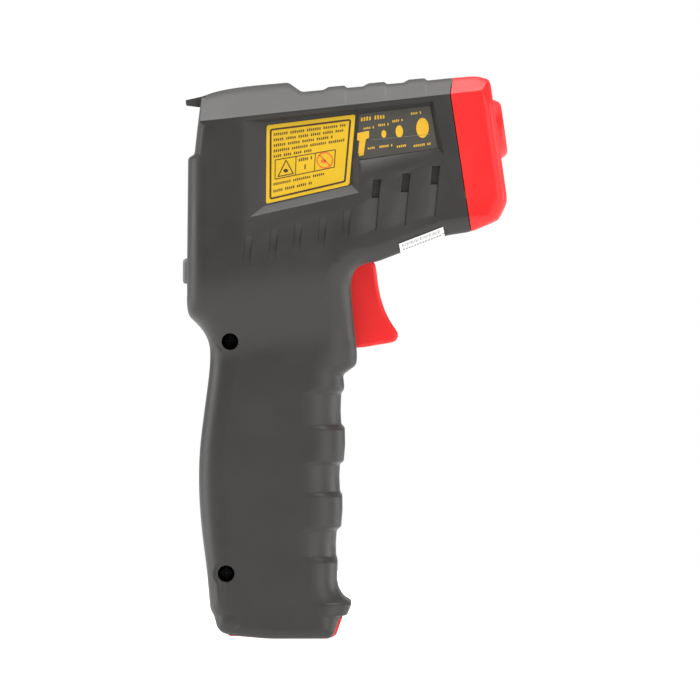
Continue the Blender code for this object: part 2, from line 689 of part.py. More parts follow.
def battery_group(red, steel, jacket, black, wire_red, wire_black):
    """Battery, its snap and leads, and the hinged door under it."""
    cell = soften(piece("battery", box(BATTERY_LOW, BATTERY_HIGH), jacket), 1.2, 2)
    apply_edges(cell)
    middle_x = (BATTERY_LOW[0] + BATTERY_HIGH[0]) / 2
    top = BATTERY_HIGH[2]
    poles = []
    for shift, radius in ((-6.35, 2.8), (6.35, 3.6)):
        poles.append(rod(radius, (middle_x + shift, 0, top - 0.6), 2.6, (0, 0, 1), 12))
    shape(cell, poles, "UNION")
    snap = box((middle_x - 12.2, -7.6, top + 2.4), (middle_x + 12.2, 7.6, top + 5.6))
    soften(piece("battery_snap", snap, black), 1.0, 2)
    snap_top = top + 5.6 + GAP
    for name, y, material in (("red", 3.0, wire_red), ("black", -3.0, wire_black)):
        route = [
            (-19.0, y, snap_top), (-19.0, y, 60.0), (-19.6, y, 68.0), (-21.4, y, 76.0), (-24.0, y, 84.0),
            (-26.8, y, 92.0), (-29.6, y, 100.0), (-32.0, y, 106.0), (-34.0, y, 109.0), (-35.6, y, 110.0),
        ]
        tube_along("battery_lead_" + name, route, 0.8, material)
    outline = [(DOOR_PIVOT[0], DOOR_PIVOT[1] - DOOR_LOBE), (-4.2, 0.3), (-2.8, 1.3), (-0.95, 6.6)]
    outline += [(-3.6, 6.6), (-4.9, 2.4)] + arc(DOOR_PIVOT, DOOR_LOBE, -5, 262, 14)
    door = piece("battery_door", prism(outline, -DOOR_HALF, DOOR_HALF), red)
    hole = cross_rod(PIN_RADIUS + RUNNING_FIT, DOOR_PIVOT, -20, 20)
    shape(door, [hole], "DIFFERENCE")
    move_origin(door, (DOOR_PIVOT[0], 0, DOOR_PIVOT[1]))
    piece("battery_door_pin", cross_rod(PIN_RADIUS, DOOR_PIVOT, -14.0, 14.0), steel)


# ------------------------------------------------------ screws and labels

def case_screw(name, centre, material):
    """Pan-head screw from the right shell into the left one."""
    profile = [
        (0, -SCREW_SEAT - 1.9), (1.5, -SCREW_SEAT - 1.9), (SCREW_HEAD, -SCREW_SEAT - 1.1),
        (SCREW_HEAD, -SCREW_SEAT), (SCREW_SHANK, -SCREW_SEAT), (SCREW_SHANK, 7.4), (0.4, 8.4), (0, 8.4),
    ]
    return piece(name, turned(profile, (centre[0], 0, centre[1]), (0, 1, 0), 16), material)


def serial_label(material):
    """Small label on the sloping lower edge of the right flank."""
    corners = []
    for x, share in ((16.8, 0.04), (30.4, 0.04), (30.0, 0.66), (16.4, 0.66)):
        z = 117.3 + 0.384 * (x - 9.8) + 5.0 * share
        corners.append(Vector((x, -(BARREL_HALF - 2.5 * (1 - share)), z)))
    bm = bmesh.new()
    outward = (corners[1] - corners[0]).cross(corners[3] - corners[0]).normalized()
    if outward.y > 0:
        outward.negate()
    base = bm.faces.new([bm.verts.new(corner + outward * GAP) for corner in corners])
    grown = bmesh.ops.extrude_face_region(bm, geom=[base])
    moved = [item for item in grown["geom"] if isinstance(item, bmesh.types.BMVert)]
    bmesh.ops.translate(bm, vec=outward * 0.25, verts=moved)
    face_outwards(bm)
    return piece("serial_label", bm, material)


def labels(yellow, dark, white):
    """Stickers of the right flank, two of them in shallow pockets."""
    piece("warning_label", prism(WARNING_QUAD, -BARREL_HALF + 0.1, -BARREL_HALF + 0.4), yellow)
    piece("spot_size_label", prism(SPOT_QUAD, -BARREL_HALF + 0.6, -BARREL_HALF + 0.9), dark)
    serial_label(white)


def build():
    """Make every piece of the thermometer."""
    for old in list(bpy.data.objects):
        bpy.data.objects.remove(old)
    charcoal = finish("charcoal_plastic", (0.060, 0.057, 0.053), 0.55)
    red = finish("red_plastic", (0.85, 0.035, 0.03), 0.4)
    black = finish("black_plastic", (0.018, 0.018, 0.018), 0.5)
    dark_film = finish("dark_label", (0.042, 0.040, 0.037), 0.4)
    clear = finish("clear_window", (0.85, 0.88, 0.88), 0.1, alpha=0.35)
    glass = finish("lens_glass", (0.12, 0.07, 0.05), 0.1)
    steel = finish("steel", (0.6, 0.6, 0.6), 0.35, 1.0)
    brass = finish("brass", (0.72, 0.52, 0.22), 0.35, 1.0)
    green = finish("circuit_board", (0.03, 0.2, 0.08), 0.5)
    grey = finish("display_grey", (0.35, 0.4, 0.34), 0.3)
    rubber = finish("key_rubber", (0.16, 0.16, 0.16), 0.7)
    jacket = finish("battery_jacket", (0.05, 0.05, 0.06), 0.35, 0.3)
    wire_red = finish("wire_red", (0.6, 0.03, 0.03), 0.5)
    yellow = finish("yellow_label", (0.93, 0.62, 0.03), 0.5)
    white = finish("white_label", (0.85, 0.85, 0.85), 0.5)
    shell_half("right_shell", -1, charcoal)
    shell_half("left_shell", 1, charcoal)
    nose_cap(red)
    optics(black, glass, steel, brass, green)
    back_group(black, clear, grey, green, rubber, steel)
    trigger_group(red, steel, black, green)
    battery_group(red, steel, jacket, black, wire_red, black)
    for place, centre in SCREW_SPOTS.items():
        case_screw("case_screw_" + place, centre, steel)
    labels(yellow, dark_film, white)


build()
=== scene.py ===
from math import cos, pi, radians, sin

import bmesh
import bpy
from mathutils import Matrix, Vector


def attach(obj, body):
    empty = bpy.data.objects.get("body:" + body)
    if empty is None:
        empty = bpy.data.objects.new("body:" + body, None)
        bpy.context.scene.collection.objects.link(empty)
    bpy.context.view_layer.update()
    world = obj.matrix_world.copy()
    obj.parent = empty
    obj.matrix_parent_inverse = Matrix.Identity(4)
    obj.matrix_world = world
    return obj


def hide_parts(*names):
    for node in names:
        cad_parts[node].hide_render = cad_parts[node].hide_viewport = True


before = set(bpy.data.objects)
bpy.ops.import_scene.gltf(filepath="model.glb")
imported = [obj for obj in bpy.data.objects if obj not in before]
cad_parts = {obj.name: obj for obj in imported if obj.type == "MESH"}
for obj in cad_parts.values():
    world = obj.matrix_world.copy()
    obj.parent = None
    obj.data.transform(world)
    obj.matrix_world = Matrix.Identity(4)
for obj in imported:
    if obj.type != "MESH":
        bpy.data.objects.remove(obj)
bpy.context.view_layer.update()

mm = 0.001   # every size below is in millimetres; meshes are scaled at the end


# ---- mesh helpers

def faceOutwards(bm):
    bmesh.ops.recalc_face_normals(bm, faces=bm.faces)
    if bm.calc_volume(signed=True) < 0:
        bmesh.ops.reverse_faces(bm, faces=bm.faces)
    return bm


def makePiece(name, bm, material=None, sharpAngle=38):
    bmesh.ops.scale(bm, vec=(mm, mm, mm), verts=bm.verts)
    mesh = bpy.data.meshes.new(name)
    bm.to_mesh(mesh)
    bm.free()
    if material:
        mesh.materials.append(material)
    mesh.shade_smooth()
    mesh.set_sharp_from_angle(angle=radians(sharpAngle))
    piece = bpy.data.objects.new(name, mesh)
    bpy.context.scene.collection.objects.link(piece)
    return piece


def applyModifiers(piece):
    depsgraph = bpy.context.evaluated_depsgraph_get()
    finished = bpy.data.meshes.new_from_object(piece.evaluated_get(depsgraph))
    plain = piece.data
    piece.modifiers.clear()
    piece.data = finished
    bpy.data.meshes.remove(plain)
    piece.data.name = piece.name
    return piece


def combine(piece, tools, operation, solver="MANIFOLD"):
    for bm in tools:
        tool = makePiece("tool", bm)
        step = piece.modifiers.new("Combine", "BOOLEAN")
        step.operation = operation
        step.solver = solver
        step.object = tool
        applyModifiers(piece)
        bpy.data.objects.remove(tool)
    return piece


def cleanMesh(piece, sharpAngle=38):
    bm = bmesh.new()
    bm.from_mesh(piece.data)
    bmesh.ops.remove_doubles(bm, verts=bm.verts, dist=0.004 * mm)
    bmesh.ops.dissolve_degenerate(bm, edges=bm.edges, dist=0.004 * mm)
    bm.to_mesh(piece.data)
    bm.free()
    piece.data.shade_smooth()
    piece.data.set_sharp_from_angle(angle=radians(sharpAngle))
    return piece


def evenNormals(piece):
    even = piece.modifiers.new("Even normals", "WEIGHTED_NORMAL")
    even.keep_sharp = True
    return piece


def joinLoops(bm, near, far):   # a band of faces between two rings of vertices
    rims = []
    for verts in (near, far):
        for a, b in zip(verts, verts[1:] + verts[:1]):
            rims.append(bm.edges.get((a, b)) or bm.edges.new((a, b)))
    bmesh.ops.bridge_loops(bm, edges=rims)


def extrudeFace(bm, face, offset):
    grown = bmesh.ops.extrude_face_region(bm, geom=[face])
    moved = [item for item in grown["geom"] if isinstance(item, bmesh.types.BMVert)]
    bmesh.ops.translate(bm, vec=offset, verts=moved)
    return moved


def slab(points, offset, edge=0.0, segments=3):   # flat outline, thickened by an offset, rims rounded
    bm = bmesh.new()
    base = bm.faces.new([bm.verts.new(point) for point in points])
    extrudeFace(bm, base, offset)
    faceOutwards(bm)
    if edge:
        along = Vector(offset).normalized()
        rims = [e for e in bm.edges if abs((e.verts[1].co - e.verts[0].co).normalized().dot(along)) < 0.5]
        bmesh.ops.bevel(
            bm, geom=rims, offset=edge, segments=segments, profile=0.5, affect="EDGES", material=-1
        )
    return bm


def sidePrism(outline, low, high, edge=0.0, segments=3):   # outline in X and Z
    return slab([(x, low, z) for x, z in outline], (0, high - low, 0), edge, segments)


def backPlate(outline, low, high, edge=0.0, segments=3):   # outline in Y and Z
    return slab([(low, y, z) for y, z in outline], (high - low, 0, 0), edge, segments)


def block(low, high, edge=0.0, segments=2):
    bm = bmesh.new()
    bmesh.ops.create_cube(bm, size=1.0)
    bmesh.ops.scale(bm, vec=Vector(high) - Vector(low), verts=bm.verts)
    bmesh.ops.translate(bm, vec=(Vector(high) + Vector(low)) / 2, verts=bm.verts)
    if edge:
        bmesh.ops.bevel(
            bm, geom=bm.edges[:], offset=edge, segments=segments, profile=0.5, affect="EDGES", material=-1
        )
    return bm


def lathe(profile, base, direction, facets=72):   # (radius, distance) points turned about a line
    bm = bmesh.new()
    verts = [bm.verts.new((radius, 0, distance)) for radius, distance in profile]
    edges = [bm.edges.new(pair) for pair in zip(verts, verts[1:])]
    if profile[0][0] > 0:
        edges.append(bm.edges.new((verts[-1], verts[0])))
    bmesh.ops.spin(
        bm, geom=verts + edges, cent=(0, 0, 0), axis=(0, 0, 1), angle=2 * pi, steps=facets, use_merge=True
    )
    bmesh.ops.remove_doubles(bm, verts=bm.verts, dist=0.0005)
    turn = Vector((0, 0, 1)).rotation_difference(Vector(direction)).to_matrix().to_4x4()
    bmesh.ops.transform(bm, matrix=Matrix.Translation(base) @ turn, verts=bm.verts)
    return faceOutwards(bm)


def crossRod(radius, centre, low, high, facets=40):   # cylinder along Y
    profile = [(0, 0), (radius, 0), (radius, high - low), (0, high - low)]
    return lathe(profile, (centre[0], low, centre[1]), (0, 1, 0), facets)


def arc(centre, radius, start, end, steps):
    points = []
    for step in range(steps + 1):
        angle = radians(start + (end - start) * step / steps)
        points.append((centre[0] + radius * cos(angle), centre[1] + radius * sin(angle)))
    return points


def roundedRectangle(halfWidth, low, high, radius, steps=6, middle=0.0):
    points = []
    corners = [
        (halfWidth - radius, low + radius, -90), (halfWidth - radius, high - radius, 0),
        (radius - halfWidth, high - radius, 90), (radius - halfWidth, low + radius, 180),
    ]
    for y, z, start in corners:
        points += arc((y + middle, z), radius, start, start + 90, steps)
    return points


def roundedPolygon(corners, radius, steps=5):   # corner cutting with a curve through each corner
    points = []
    count = len(corners)
    for i, corner in enumerate(corners):
        here = Vector(corner)
        before = Vector(corners[i - 1]) - here
        after = Vector(corners[(i + 1) % count]) - here
        start = here + before * min(0.45, radius / before.length)
        end = here + after * min(0.45, radius / after.length)
        for step in range(steps + 1):
            t = step / steps
            points.append(tuple(start * (1 - t) ** 2 + here * 2 * t * (1 - t) + end * t ** 2))
    return points


# ---- materials

def newMaterial(name):
    material = bpy.data.materials.new(name)
    material.use_nodes = True
    return material, material.node_tree.nodes, material.node_tree.links


def addNoise(nodes, links, place, scale, detail=4.0, roughness=0.55):
    noise = nodes.new("ShaderNodeTexNoise")
    noise.inputs["Scale"].default_value = scale
    noise.inputs["Detail"].default_value = detail
    noise.inputs["Roughness"].default_value = roughness
    links.new(place.outputs["Object"], noise.inputs["Vector"])
    return noise


def addRange(nodes, links, source, lowIn, highIn, lowOut, highOut):
    ranger = nodes.new("ShaderNodeMapRange")
    for socket, value in (("From Min", lowIn), ("From Max", highIn), ("To Min", lowOut), ("To Max", highOut)):
        ranger.inputs[socket].default_value = value
    links.new(source, ranger.inputs["Value"])
    return ranger.outputs["Result"]


def addMix(nodes, links, factor, first, second):
    mix = nodes.new("ShaderNodeMix")
    mix.data_type = "RGBA"
    if isinstance(factor, float):
        mix.inputs[0].default_value = factor
    else:
        links.new(factor, mix.inputs[0])
    for index, colour in ((6, first), (7, second)):
        if isinstance(colour, tuple):
            mix.inputs[index].default_value = (*colour, 1.0)
        else:
            links.new(colour, mix.inputs[index])
    return mix.outputs[2]


def mouldedPlastic(name, look):   # the grain is a noise scale; depth is the height of its bumps
    material, nodes, links = newMaterial(name)
    shader = nodes["Principled BSDF"]
    place = nodes.new("ShaderNodeTexCoord")
    grain = addNoise(nodes, links, place, look["grain"], 3.0)
    cloud = addNoise(nodes, links, place, look.get("cloud", 55.0), 5.0)
    speck = nodes.new("ShaderNodeTexVoronoi")
    speck.inputs["Scale"].default_value = look["grain"] * 0.8
    links.new(place.outputs["Object"], speck.inputs["Vector"])
    edge = nodes.new("ShaderNodeNewGeometry")
    tone = addRange(nodes, links, cloud.outputs["Fac"], 0.3, 0.7, 0.0, 1.0)
    colour = addMix(nodes, links, tone, look["colour"], look["light"])
    fleck = addRange(nodes, links, speck.outputs["Distance"], 0.0, 0.35, look.get("fleck", 0.10), 0.0)
    colour = addMix(nodes, links, fleck, colour, look["worn"])
    wear = addRange(nodes, links, edge.outputs["Pointiness"], 0.52, 0.62, 0.0, look.get("wear", 0.35))
    colour = addMix(nodes, links, wear, colour, look["worn"])
    links.new(colour, shader.inputs["Base Color"])
    rough = addRange(nodes, links, cloud.outputs["Fac"], 0.3, 0.7, look["rough"] - 0.05, look["rough"] + 0.06)
    links.new(rough, shader.inputs["Roughness"])
    shader.inputs["Specular IOR Level"].default_value = look.get("specular", 0.5)
    shader.inputs["Sheen Weight"].default_value = look.get("sheen", 0.0)
    shader.inputs["Sheen Roughness"].default_value = 0.4
    bump = nodes.new("ShaderNodeBump")
    bump.inputs["Strength"].default_value = look.get("bump", 0.35)
    bump.inputs["Distance"].default_value = look["depth"] * mm
    links.new(grain.outputs["Fac"], bump.inputs["Height"])
    links.new(bump.outputs["Normal"], shader.inputs["Normal"])
    return material


def metalFinish(name, colour, dark, rough, scale=900.0):
    material, nodes, links = newMaterial(name)
    shader = nodes["Principled BSDF"]
    place = nodes.new("ShaderNodeTexCoord")
    brush = addNoise(nodes, links, place, scale, 4.0)
    tone = addRange(nodes, links, brush.outputs["Fac"], 0.3, 0.7, 0.0, 1.0)
    links.new(addMix(nodes, links, tone, dark, colour), shader.inputs["Base Color"])
    links.new(
        addRange(nodes, links, brush.outputs["Fac"], 0.3, 0.7, rough - 0.08, rough + 0.1),
        shader.inputs["Roughness"],
    )
    shader.inputs["Metallic"].default_value = 1.0
    bump = nodes.new("ShaderNodeBump")
    bump.inputs["Strength"].default_value = 0.2
    bump.inputs["Distance"].default_value = 0.02 * mm
    links.new(brush.outputs["Fac"], bump.inputs["Height"])
    links.new(bump.outputs["Normal"], shader.inputs["Normal"])
    return material


def printedFilm(name, colour, faded, rough, coat=0.3):
    material, nodes, links = newMaterial(name)
    shader = nodes["Principled BSDF"]
    place = nodes.new("ShaderNodeTexCoord")
    fade = addNoise(nodes, links, place, 90.0, 6.0)
    fibre = addNoise(nodes, links, place, 3500.0, 2.0)
    tone = addRange(nodes, links, fade.outputs["Fac"], 0.35, 0.7, 0.0, 1.0)
    links.new(addMix(nodes, links, tone, colour, faded), shader.inputs["Base Color"])
    links.new(
        addRange(nodes, links, fade.outputs["Fac"], 0.3, 0.7, rough, rough + 0.12), shader.inputs["Roughness"]
    )
    shader.inputs["Coat Weight"].default_value = coat
    shader.inputs["Coat Roughness"].default_value = 0.2
    bump = nodes.new("ShaderNodeBump")
    bump.inputs["Strength"].default_value = 0.15
    bump.inputs["Distance"].default_value = 0.01 * mm
    links.new(fibre.outputs["Fac"], bump.inputs["Height"])
    links.new(bump.outputs["Normal"], shader.inputs["Normal"])
    return material


def clearFinish(name, colour, rough, alpha, smear=0.1):
    material, nodes, links = newMaterial(name)
    shader = nodes["Principled BSDF"]
    place = nodes.new("ShaderNodeTexCoord")
    smudge = addNoise(nodes, links, place, 140.0, 5.0)
    tone = addRange(nodes, links, smudge.outputs["Fac"], 0.35, 0.7, 0.0, 1.0)
    darker = tuple(part * 0.8 for part in colour)
    links.new(addMix(nodes, links, tone, colour, darker), shader.inputs["Base Color"])
    links.new(
        addRange(nodes, links, smudge.outputs["Fac"], 0.4, 0.75, rough, rough + smear),
        shader.inputs["Roughness"],
    )
    shader.inputs["Alpha"].default_value = alpha
    shader.inputs["Coat Weight"].default_value = 0.6
    shader.inputs["Coat Roughness"].default_value = 0.05
    return material


charcoal = mouldedPlastic("charcoal plastic", {
    "colour": (0.0165, 0.0152, 0.0138), "light": (0.022, 0.0205, 0.0187), "worn": (0.07, 0.067, 0.063),
    "rough": 0.44, "grain": 2600.0, "depth": 0.05, "wear": 0.3, "fleck": 0.08, "specular": 0.45,
    "sheen": 0.10,
})
redPlastic = mouldedPlastic("red plastic", {
    "colour": (0.76, 0.006, 0.006), "light": (0.83, 0.010, 0.010), "worn": (0.95, 0.08, 0.06),
    "rough": 0.38, "specular": 0.4, "grain": 3200.0, "depth": 0.02, "wear": 0.25, "fleck": 0.05,
    "bump": 0.2,
})
blackPlastic = mouldedPlastic("black plastic", {
    "colour": (0.014, 0.014, 0.014), "light": (0.022, 0.021, 0.021), "worn": (0.09, 0.09, 0.09),
    "rough": 0.38, "grain": 3000.0, "depth": 0.03, "wear": 0.3,
})
keyRubber = mouldedPlastic("key rubber", {
    "colour": (0.13, 0.13, 0.135), "light": (0.17, 0.17, 0.175), "worn": (0.3, 0.3, 0.3),
    "rough": 0.66, "grain": 4200.0, "depth": 0.03, "wear": 0.2,
})
boardGreen = mouldedPlastic("solder mask", {
    "colour": (0.012, 0.12, 0.045), "light": (0.02, 0.19, 0.07), "worn": (0.5, 0.42, 0.18),
    "rough": 0.35, "grain": 900.0, "depth": 0.04, "wear": 0.4, "fleck": 0.3,
})
wireRed = mouldedPlastic("red insulation", {
    "colour": (0.55, 0.02, 0.02), "light": (0.65, 0.04, 0.03), "worn": (0.8, 0.2, 0.2),
    "rough": 0.42, "grain": 2500.0, "depth": 0.02,
})
jacket = metalFinish("battery jacket", (0.10, 0.10, 0.11), (0.05, 0.05, 0.055), 0.36, 300.0)
steel = metalFinish("plated steel", (0.62, 0.62, 0.63), (0.42, 0.42, 0.43), 0.3)
darkSteel = metalFinish("blackened steel", (0.045, 0.045, 0.048), (0.02, 0.02, 0.021), 0.5)
brass = metalFinish("turned brass", (0.75, 0.54, 0.22), (0.55, 0.37, 0.14), 0.3)
yellowFilm = printedFilm("yellow film", (0.60, 0.37, 0.002), (0.65, 0.405, 0.005), 0.38, 0.0)
darkFilm = printedFilm("dark film", (0.044, 0.041, 0.032), (0.052, 0.048, 0.038), 0.42, 0.05)
whiteFilm = printedFilm("white film", (0.74, 0.735, 0.73), (0.68, 0.675, 0.67), 0.45, 0.1)
brownInk = printedFilm("brown ink", (0.038, 0.012, 0.003), (0.06, 0.02, 0.004), 0.45, 0.0)
orangeInk = printedFilm("orange ink", (0.62, 0.10, 0.01), (0.70, 0.14, 0.02), 0.45, 0.0)
yellowInk = printedFilm("yellow ink", (0.70, 0.40, 0.008), (0.62, 0.34, 0.008), 0.45, 0.1)
greyInk = printedFilm("grey ink", (0.16, 0.16, 0.16), (0.26, 0.26, 0.26), 0.5, 0.1)
faintInk = printedFilm("faint ink", (0.22, 0.22, 0.22), (0.30, 0.30, 0.30), 0.5, 0.0)
segmentInk = printedFilm("segment ink", (0.035, 0.04, 0.035), (0.05, 0.055, 0.05), 0.5, 0.0)
paleInk = printedFilm("pale ink", (0.75, 0.75, 0.74), (0.6, 0.6, 0.6), 0.5, 0.1)
lensGlass = clearFinish("coated lens", (0.10, 0.045, 0.05), 0.04, 1.0, 0.06)
windowGlass = clearFinish("clear window", (0.50, 0.53, 0.52), 0.04, 0.12, 0.04)
displayGlass = clearFinish("display glass", (0.25, 0.29, 0.235), 0.3, 1.0, 0.1)
print("materials ready")


# ---- housing outline: the side silhouette, and the edge of the flat side face behind each point

housing = {
    "half": 23.5, "wall": 2.4, "gap": 0.3, "lipHalf": 14.0, "waistSlope": 0.12, "tongue": 1.2,
    "waistLow": 91.0, "waistHigh": 118.5, "gripHalf": 17.2, "chamferLean": 1.3,
    "waistCuts": 16, "waistStep": 1.9, "gridFrom": -44, "gridTo": 6, "gridStep": 3,
    "seamChamfer": 0.25, "doorGap": 0.12, "panelHalf": 16.3, "panelLow": 105.7, "panelHigh": 148.7,
}
opticAxis = {
    "face": (46.8, 158.4), "tilt": radians(8.0), "bossRoot": 9.9, "bossTip": 7.2, "bossProud": 2.71,
    "bezel": 6.2, "proud": 2.1, "lens": 5.2, "tube": 7.2, "laserDrop": -17.0,
}
pivots = {"trigger": (4.6, 121.0), "door": (-35.2, 3.0)}
screwSpots = {"upper": (-35.9, 92.5), "lower": (-37.1, 20.3)}
triggerHalf = 7.0
doorHalf = 12.1


def chamferLine(x, z):
    return x, 160.9 + 0.11 * (x + 45.0)


def shifted(dx, dz):
    return lambda x, z: (x + dx, z + dz)


def ridge(x, rise=0.0):   # the sloping top, or a rib on it
    return x, 170.1 + 0.091 * (x + 13.3) + rise


def rib(start, rise=0.8, length=5.0, ramp=1.6):
    return [
        ridge(start), ridge(start + ramp, rise), ridge(start + ramp + length, rise),
        ridge(start + ramp + length + 0.7),
    ]


stretches = [   # points, side-face rule, depth of the edge in Y, roundness, softness of the corners
    ([(-44.8, 168.6)], lambda x, z: (-45.2, 161.0), None, 0.0, 0.4),
    ([(-39.8, 170.4), (-31.4, 171.8)], chamferLine, None, 0.0, 6.0),
    ([(-17.8, 173.0), ridge(-13.6)], chamferLine, None, 0.0, 0.8),
    (rib(-6.9) + rib(5.5) + rib(18.0), chamferLine, None, 0.0, 0.5),
    ([(32.0, 174.3), (40.5, 175.0)], chamferLine, None, 0.0, 1.5),
    ([(44.4, 174.0), (45.1, 172.5)], shifted(-2.4, -3.6), 6.0, 0.5, 1.0),
    ([(45.8, 167.2), (50.1, 137.6)], shifted(-3.2, 0.0), 3.6, 1.0, 2.0),
    ([(50.0, 135.3), (47.9, 130.9), (46.9, 129.9)], shifted(-3.6, 1.8), 4.0, 1.0, 2.0),
    ([(38.9, 126.6), (30.9, 125.4), (9.8, 117.3)], shifted(-1.0, 5.0), 3.4, 0.5, 2.0),
    ([(7.1, 117.0), (4.5, 116.0), (2.6, 114.4)], shifted(-5.5, 4.5), 6.0, 1.0, 3.0),
    ([(1.6, 110.5), (2.3, 102.4), (2.8, 96.5), (3.5, 90.3)], lambda x, z: (-7.0, z + 1.0), 8.0, 1.0, 4.0),
    ([(3.6, 86.7), (3.2, 84.9), (-0.8, 82.1), (-0.3, 77.6)], lambda x, z: (-10.5, z), 9.0, 1.0, 1.2),
    ([(-1.3, 76.2), (-1.5, 70.4), (-1.3, 66.4)], lambda x, z: (-13.5, z), 12.0, 1.0, 0.5),
    ([(-0.2, 65.2), (-0.1, 60.0), (-0.5, 55.2)], lambda x, z: (-10.5, z), 9.0, 1.0, 0.5),
    ([(-1.7, 54.2), (-1.9, 50.0), (-1.7, 45.4)], lambda x, z: (-14.0, z), 12.0, 1.0, 0.5),
    ([(-1.0, 44.3), (-0.9, 40.0), (-1.3, 34.9)], lambda x, z: (-11.0, z), 9.0, 1.0, 0.5),
    ([(-2.7, 33.6), (-3.0, 29.0), (-2.9, 25.4)], lambda x, z: (-14.5, z), 12.0, 1.0, 0.5),
    (
        [(-2.4, 23.9), (-2.6, 17.8), (-2.1, 15.3), (-0.6, 12.8), (1.9, 11.2)],
        lambda x, z: (-11.0, z), 9.0, 1.0, 0.8,
    ),
    ([(1.8, 10.5), (0.5, 7.3), (-1.7, 6.8)], lambda x, z: (-8.5, z), 7.0, 1.0, 0.6),
    ([(-3.6, 1.3), (-5.0, 0.0)], shifted(-4.0, 3.0), 4.0, 1.0, 1.0),
    ([(-24.0, 0.0)], shifted(0.0, 3.0), 3.0, 1.0, 3.0),
    ([(-34.5, 0.9)], shifted(1.5, 3.0), 4.0, 1.0, 2.0),
    ([(-38.4, 1.8), (-40.0, 3.6)], shifted(5.0, 2.5), 5.0, 1.0, 1.0),
    ([(-40.9, 7.1), (-42.1, 9.0), (-43.3, 22.6)], shifted(7.0, 0.5), 9.0, 1.0, 1.5),
    ([(-44.9, 34.5), (-45.7, 46.5), (-45.5, 58.4)], shifted(8.0, 0.0), 10.0, 1.0, 30.0),
    ([(-44.0, 70.4), (-42.4, 82.2), (-42.0, 88.8)], shifted(8.0, 0.0), 10.0, 1.0, 30.0),
    ([(-42.5, 92.4), (-44.1, 95.6), (-46.3, 98.1)], shifted(7.0, 2.0), 9.0, 1.0, 30.0),
    ([(-48.6, 100.2), (-49.3, 103.1)], shifted(6.5, 3.0), 7.5, 1.0, 3.0),
    ([(-49.2, 119.6), (-48.9, 149.5)], shifted(6.0, 0.0), 7.0, 1.0, 0.8),
    ([(-46.9, 150.7), (-46.0, 159.0)], shifted(3.0, 0.0), 6.0, 1.0, 0.6),
]
chamferRings = [
    (0.0, -0.12), (0.008, -0.04), (0.035, 0.03), (0.25, 0.25), (0.5, 0.5), (0.75, 0.75), (0.965, 0.97),
    (0.992, 0.996), (1.03, 1.0),
]
ringCount = len(chamferRings)


def smoothOutline(samples=4):   # each corner of the silhouette and of the side face cut by the same curve
    corners = []
    for points, rule, depth, roundness, softness in stretches:
        for x, z in points:
            side = Vector(rule(x, z))
            reach = depth or housing["chamferLean"] * (z - side.y)   # the long chamfer is one plane
            corners.append((Vector((x, z)), side, reach, roundness, softness))
    outline = []
    count = len(corners)
    for i, (edge, side, depth, roundness, softness) in enumerate(corners):
        edgeBefore, sideBefore, depthBefore, roundBefore, _ = corners[i - 1]
        edgeAfter, sideAfter, depthAfter, roundAfter, _ = corners[(i + 1) % count]
        back = min(0.49, softness / (edgeBefore - edge).length)
        ahead = min(0.49, softness / (edgeAfter - edge).length)
        for step in range(samples + 1):
            t = step / samples
            near, middle, far = (1 - t) ** 2, 2 * t * (1 - t), t ** 2
            near, far, middle = near * back, far * ahead, middle + near * (1 - back) + far * (1 - ahead)
            outline.append((
                edgeBefore * near + edge * middle + edgeAfter * far,
                sideBefore * near + side * middle + sideAfter * far,
                depthBefore * near + depth * middle + depthAfter * far,
                roundBefore * near + roundness * middle + roundAfter * far,
            ))
    return outline


def ringPoints(outline, step, wall):
    turn = min(1.0, step / (ringCount - 2)) * pi / 2
    extra = 0.03 if step == ringCount - 1 else 0.0
    flatIn, flatOut = chamferRings[step]
    points = []
    for edge, side, depth, roundness in outline:
        length = (side - edge).length
        along = (side - edge) / length
        inward = roundness * (1 - cos(turn) + extra) + (1 - roundness) * flatIn
        outward = roundness * sin(turn) + (1 - roundness) * flatOut
        travel = wall + inward * (length - wall / 2)
        y = housing["half"] - wall - (depth - wall / 2) * (1 - outward)
        place = edge + along * travel
        points.append(Vector((place.x, y, place.y)))
    return points


def smoothStep(low, high, value):
    share = min(1.0, max(0.0, (value - low) / (high - low)))
    return share * share * (3 - 2 * share)


def halfWidth(x, z):   # barrel width down to grip width, along a line that rises with the barrel
    level = z - housing["waistSlope"] * x
    share = smoothStep(housing["waistLow"], housing["waistHigh"], level)
    return housing["gripHalf"] + (housing["half"] - housing["gripHalf"]) * share


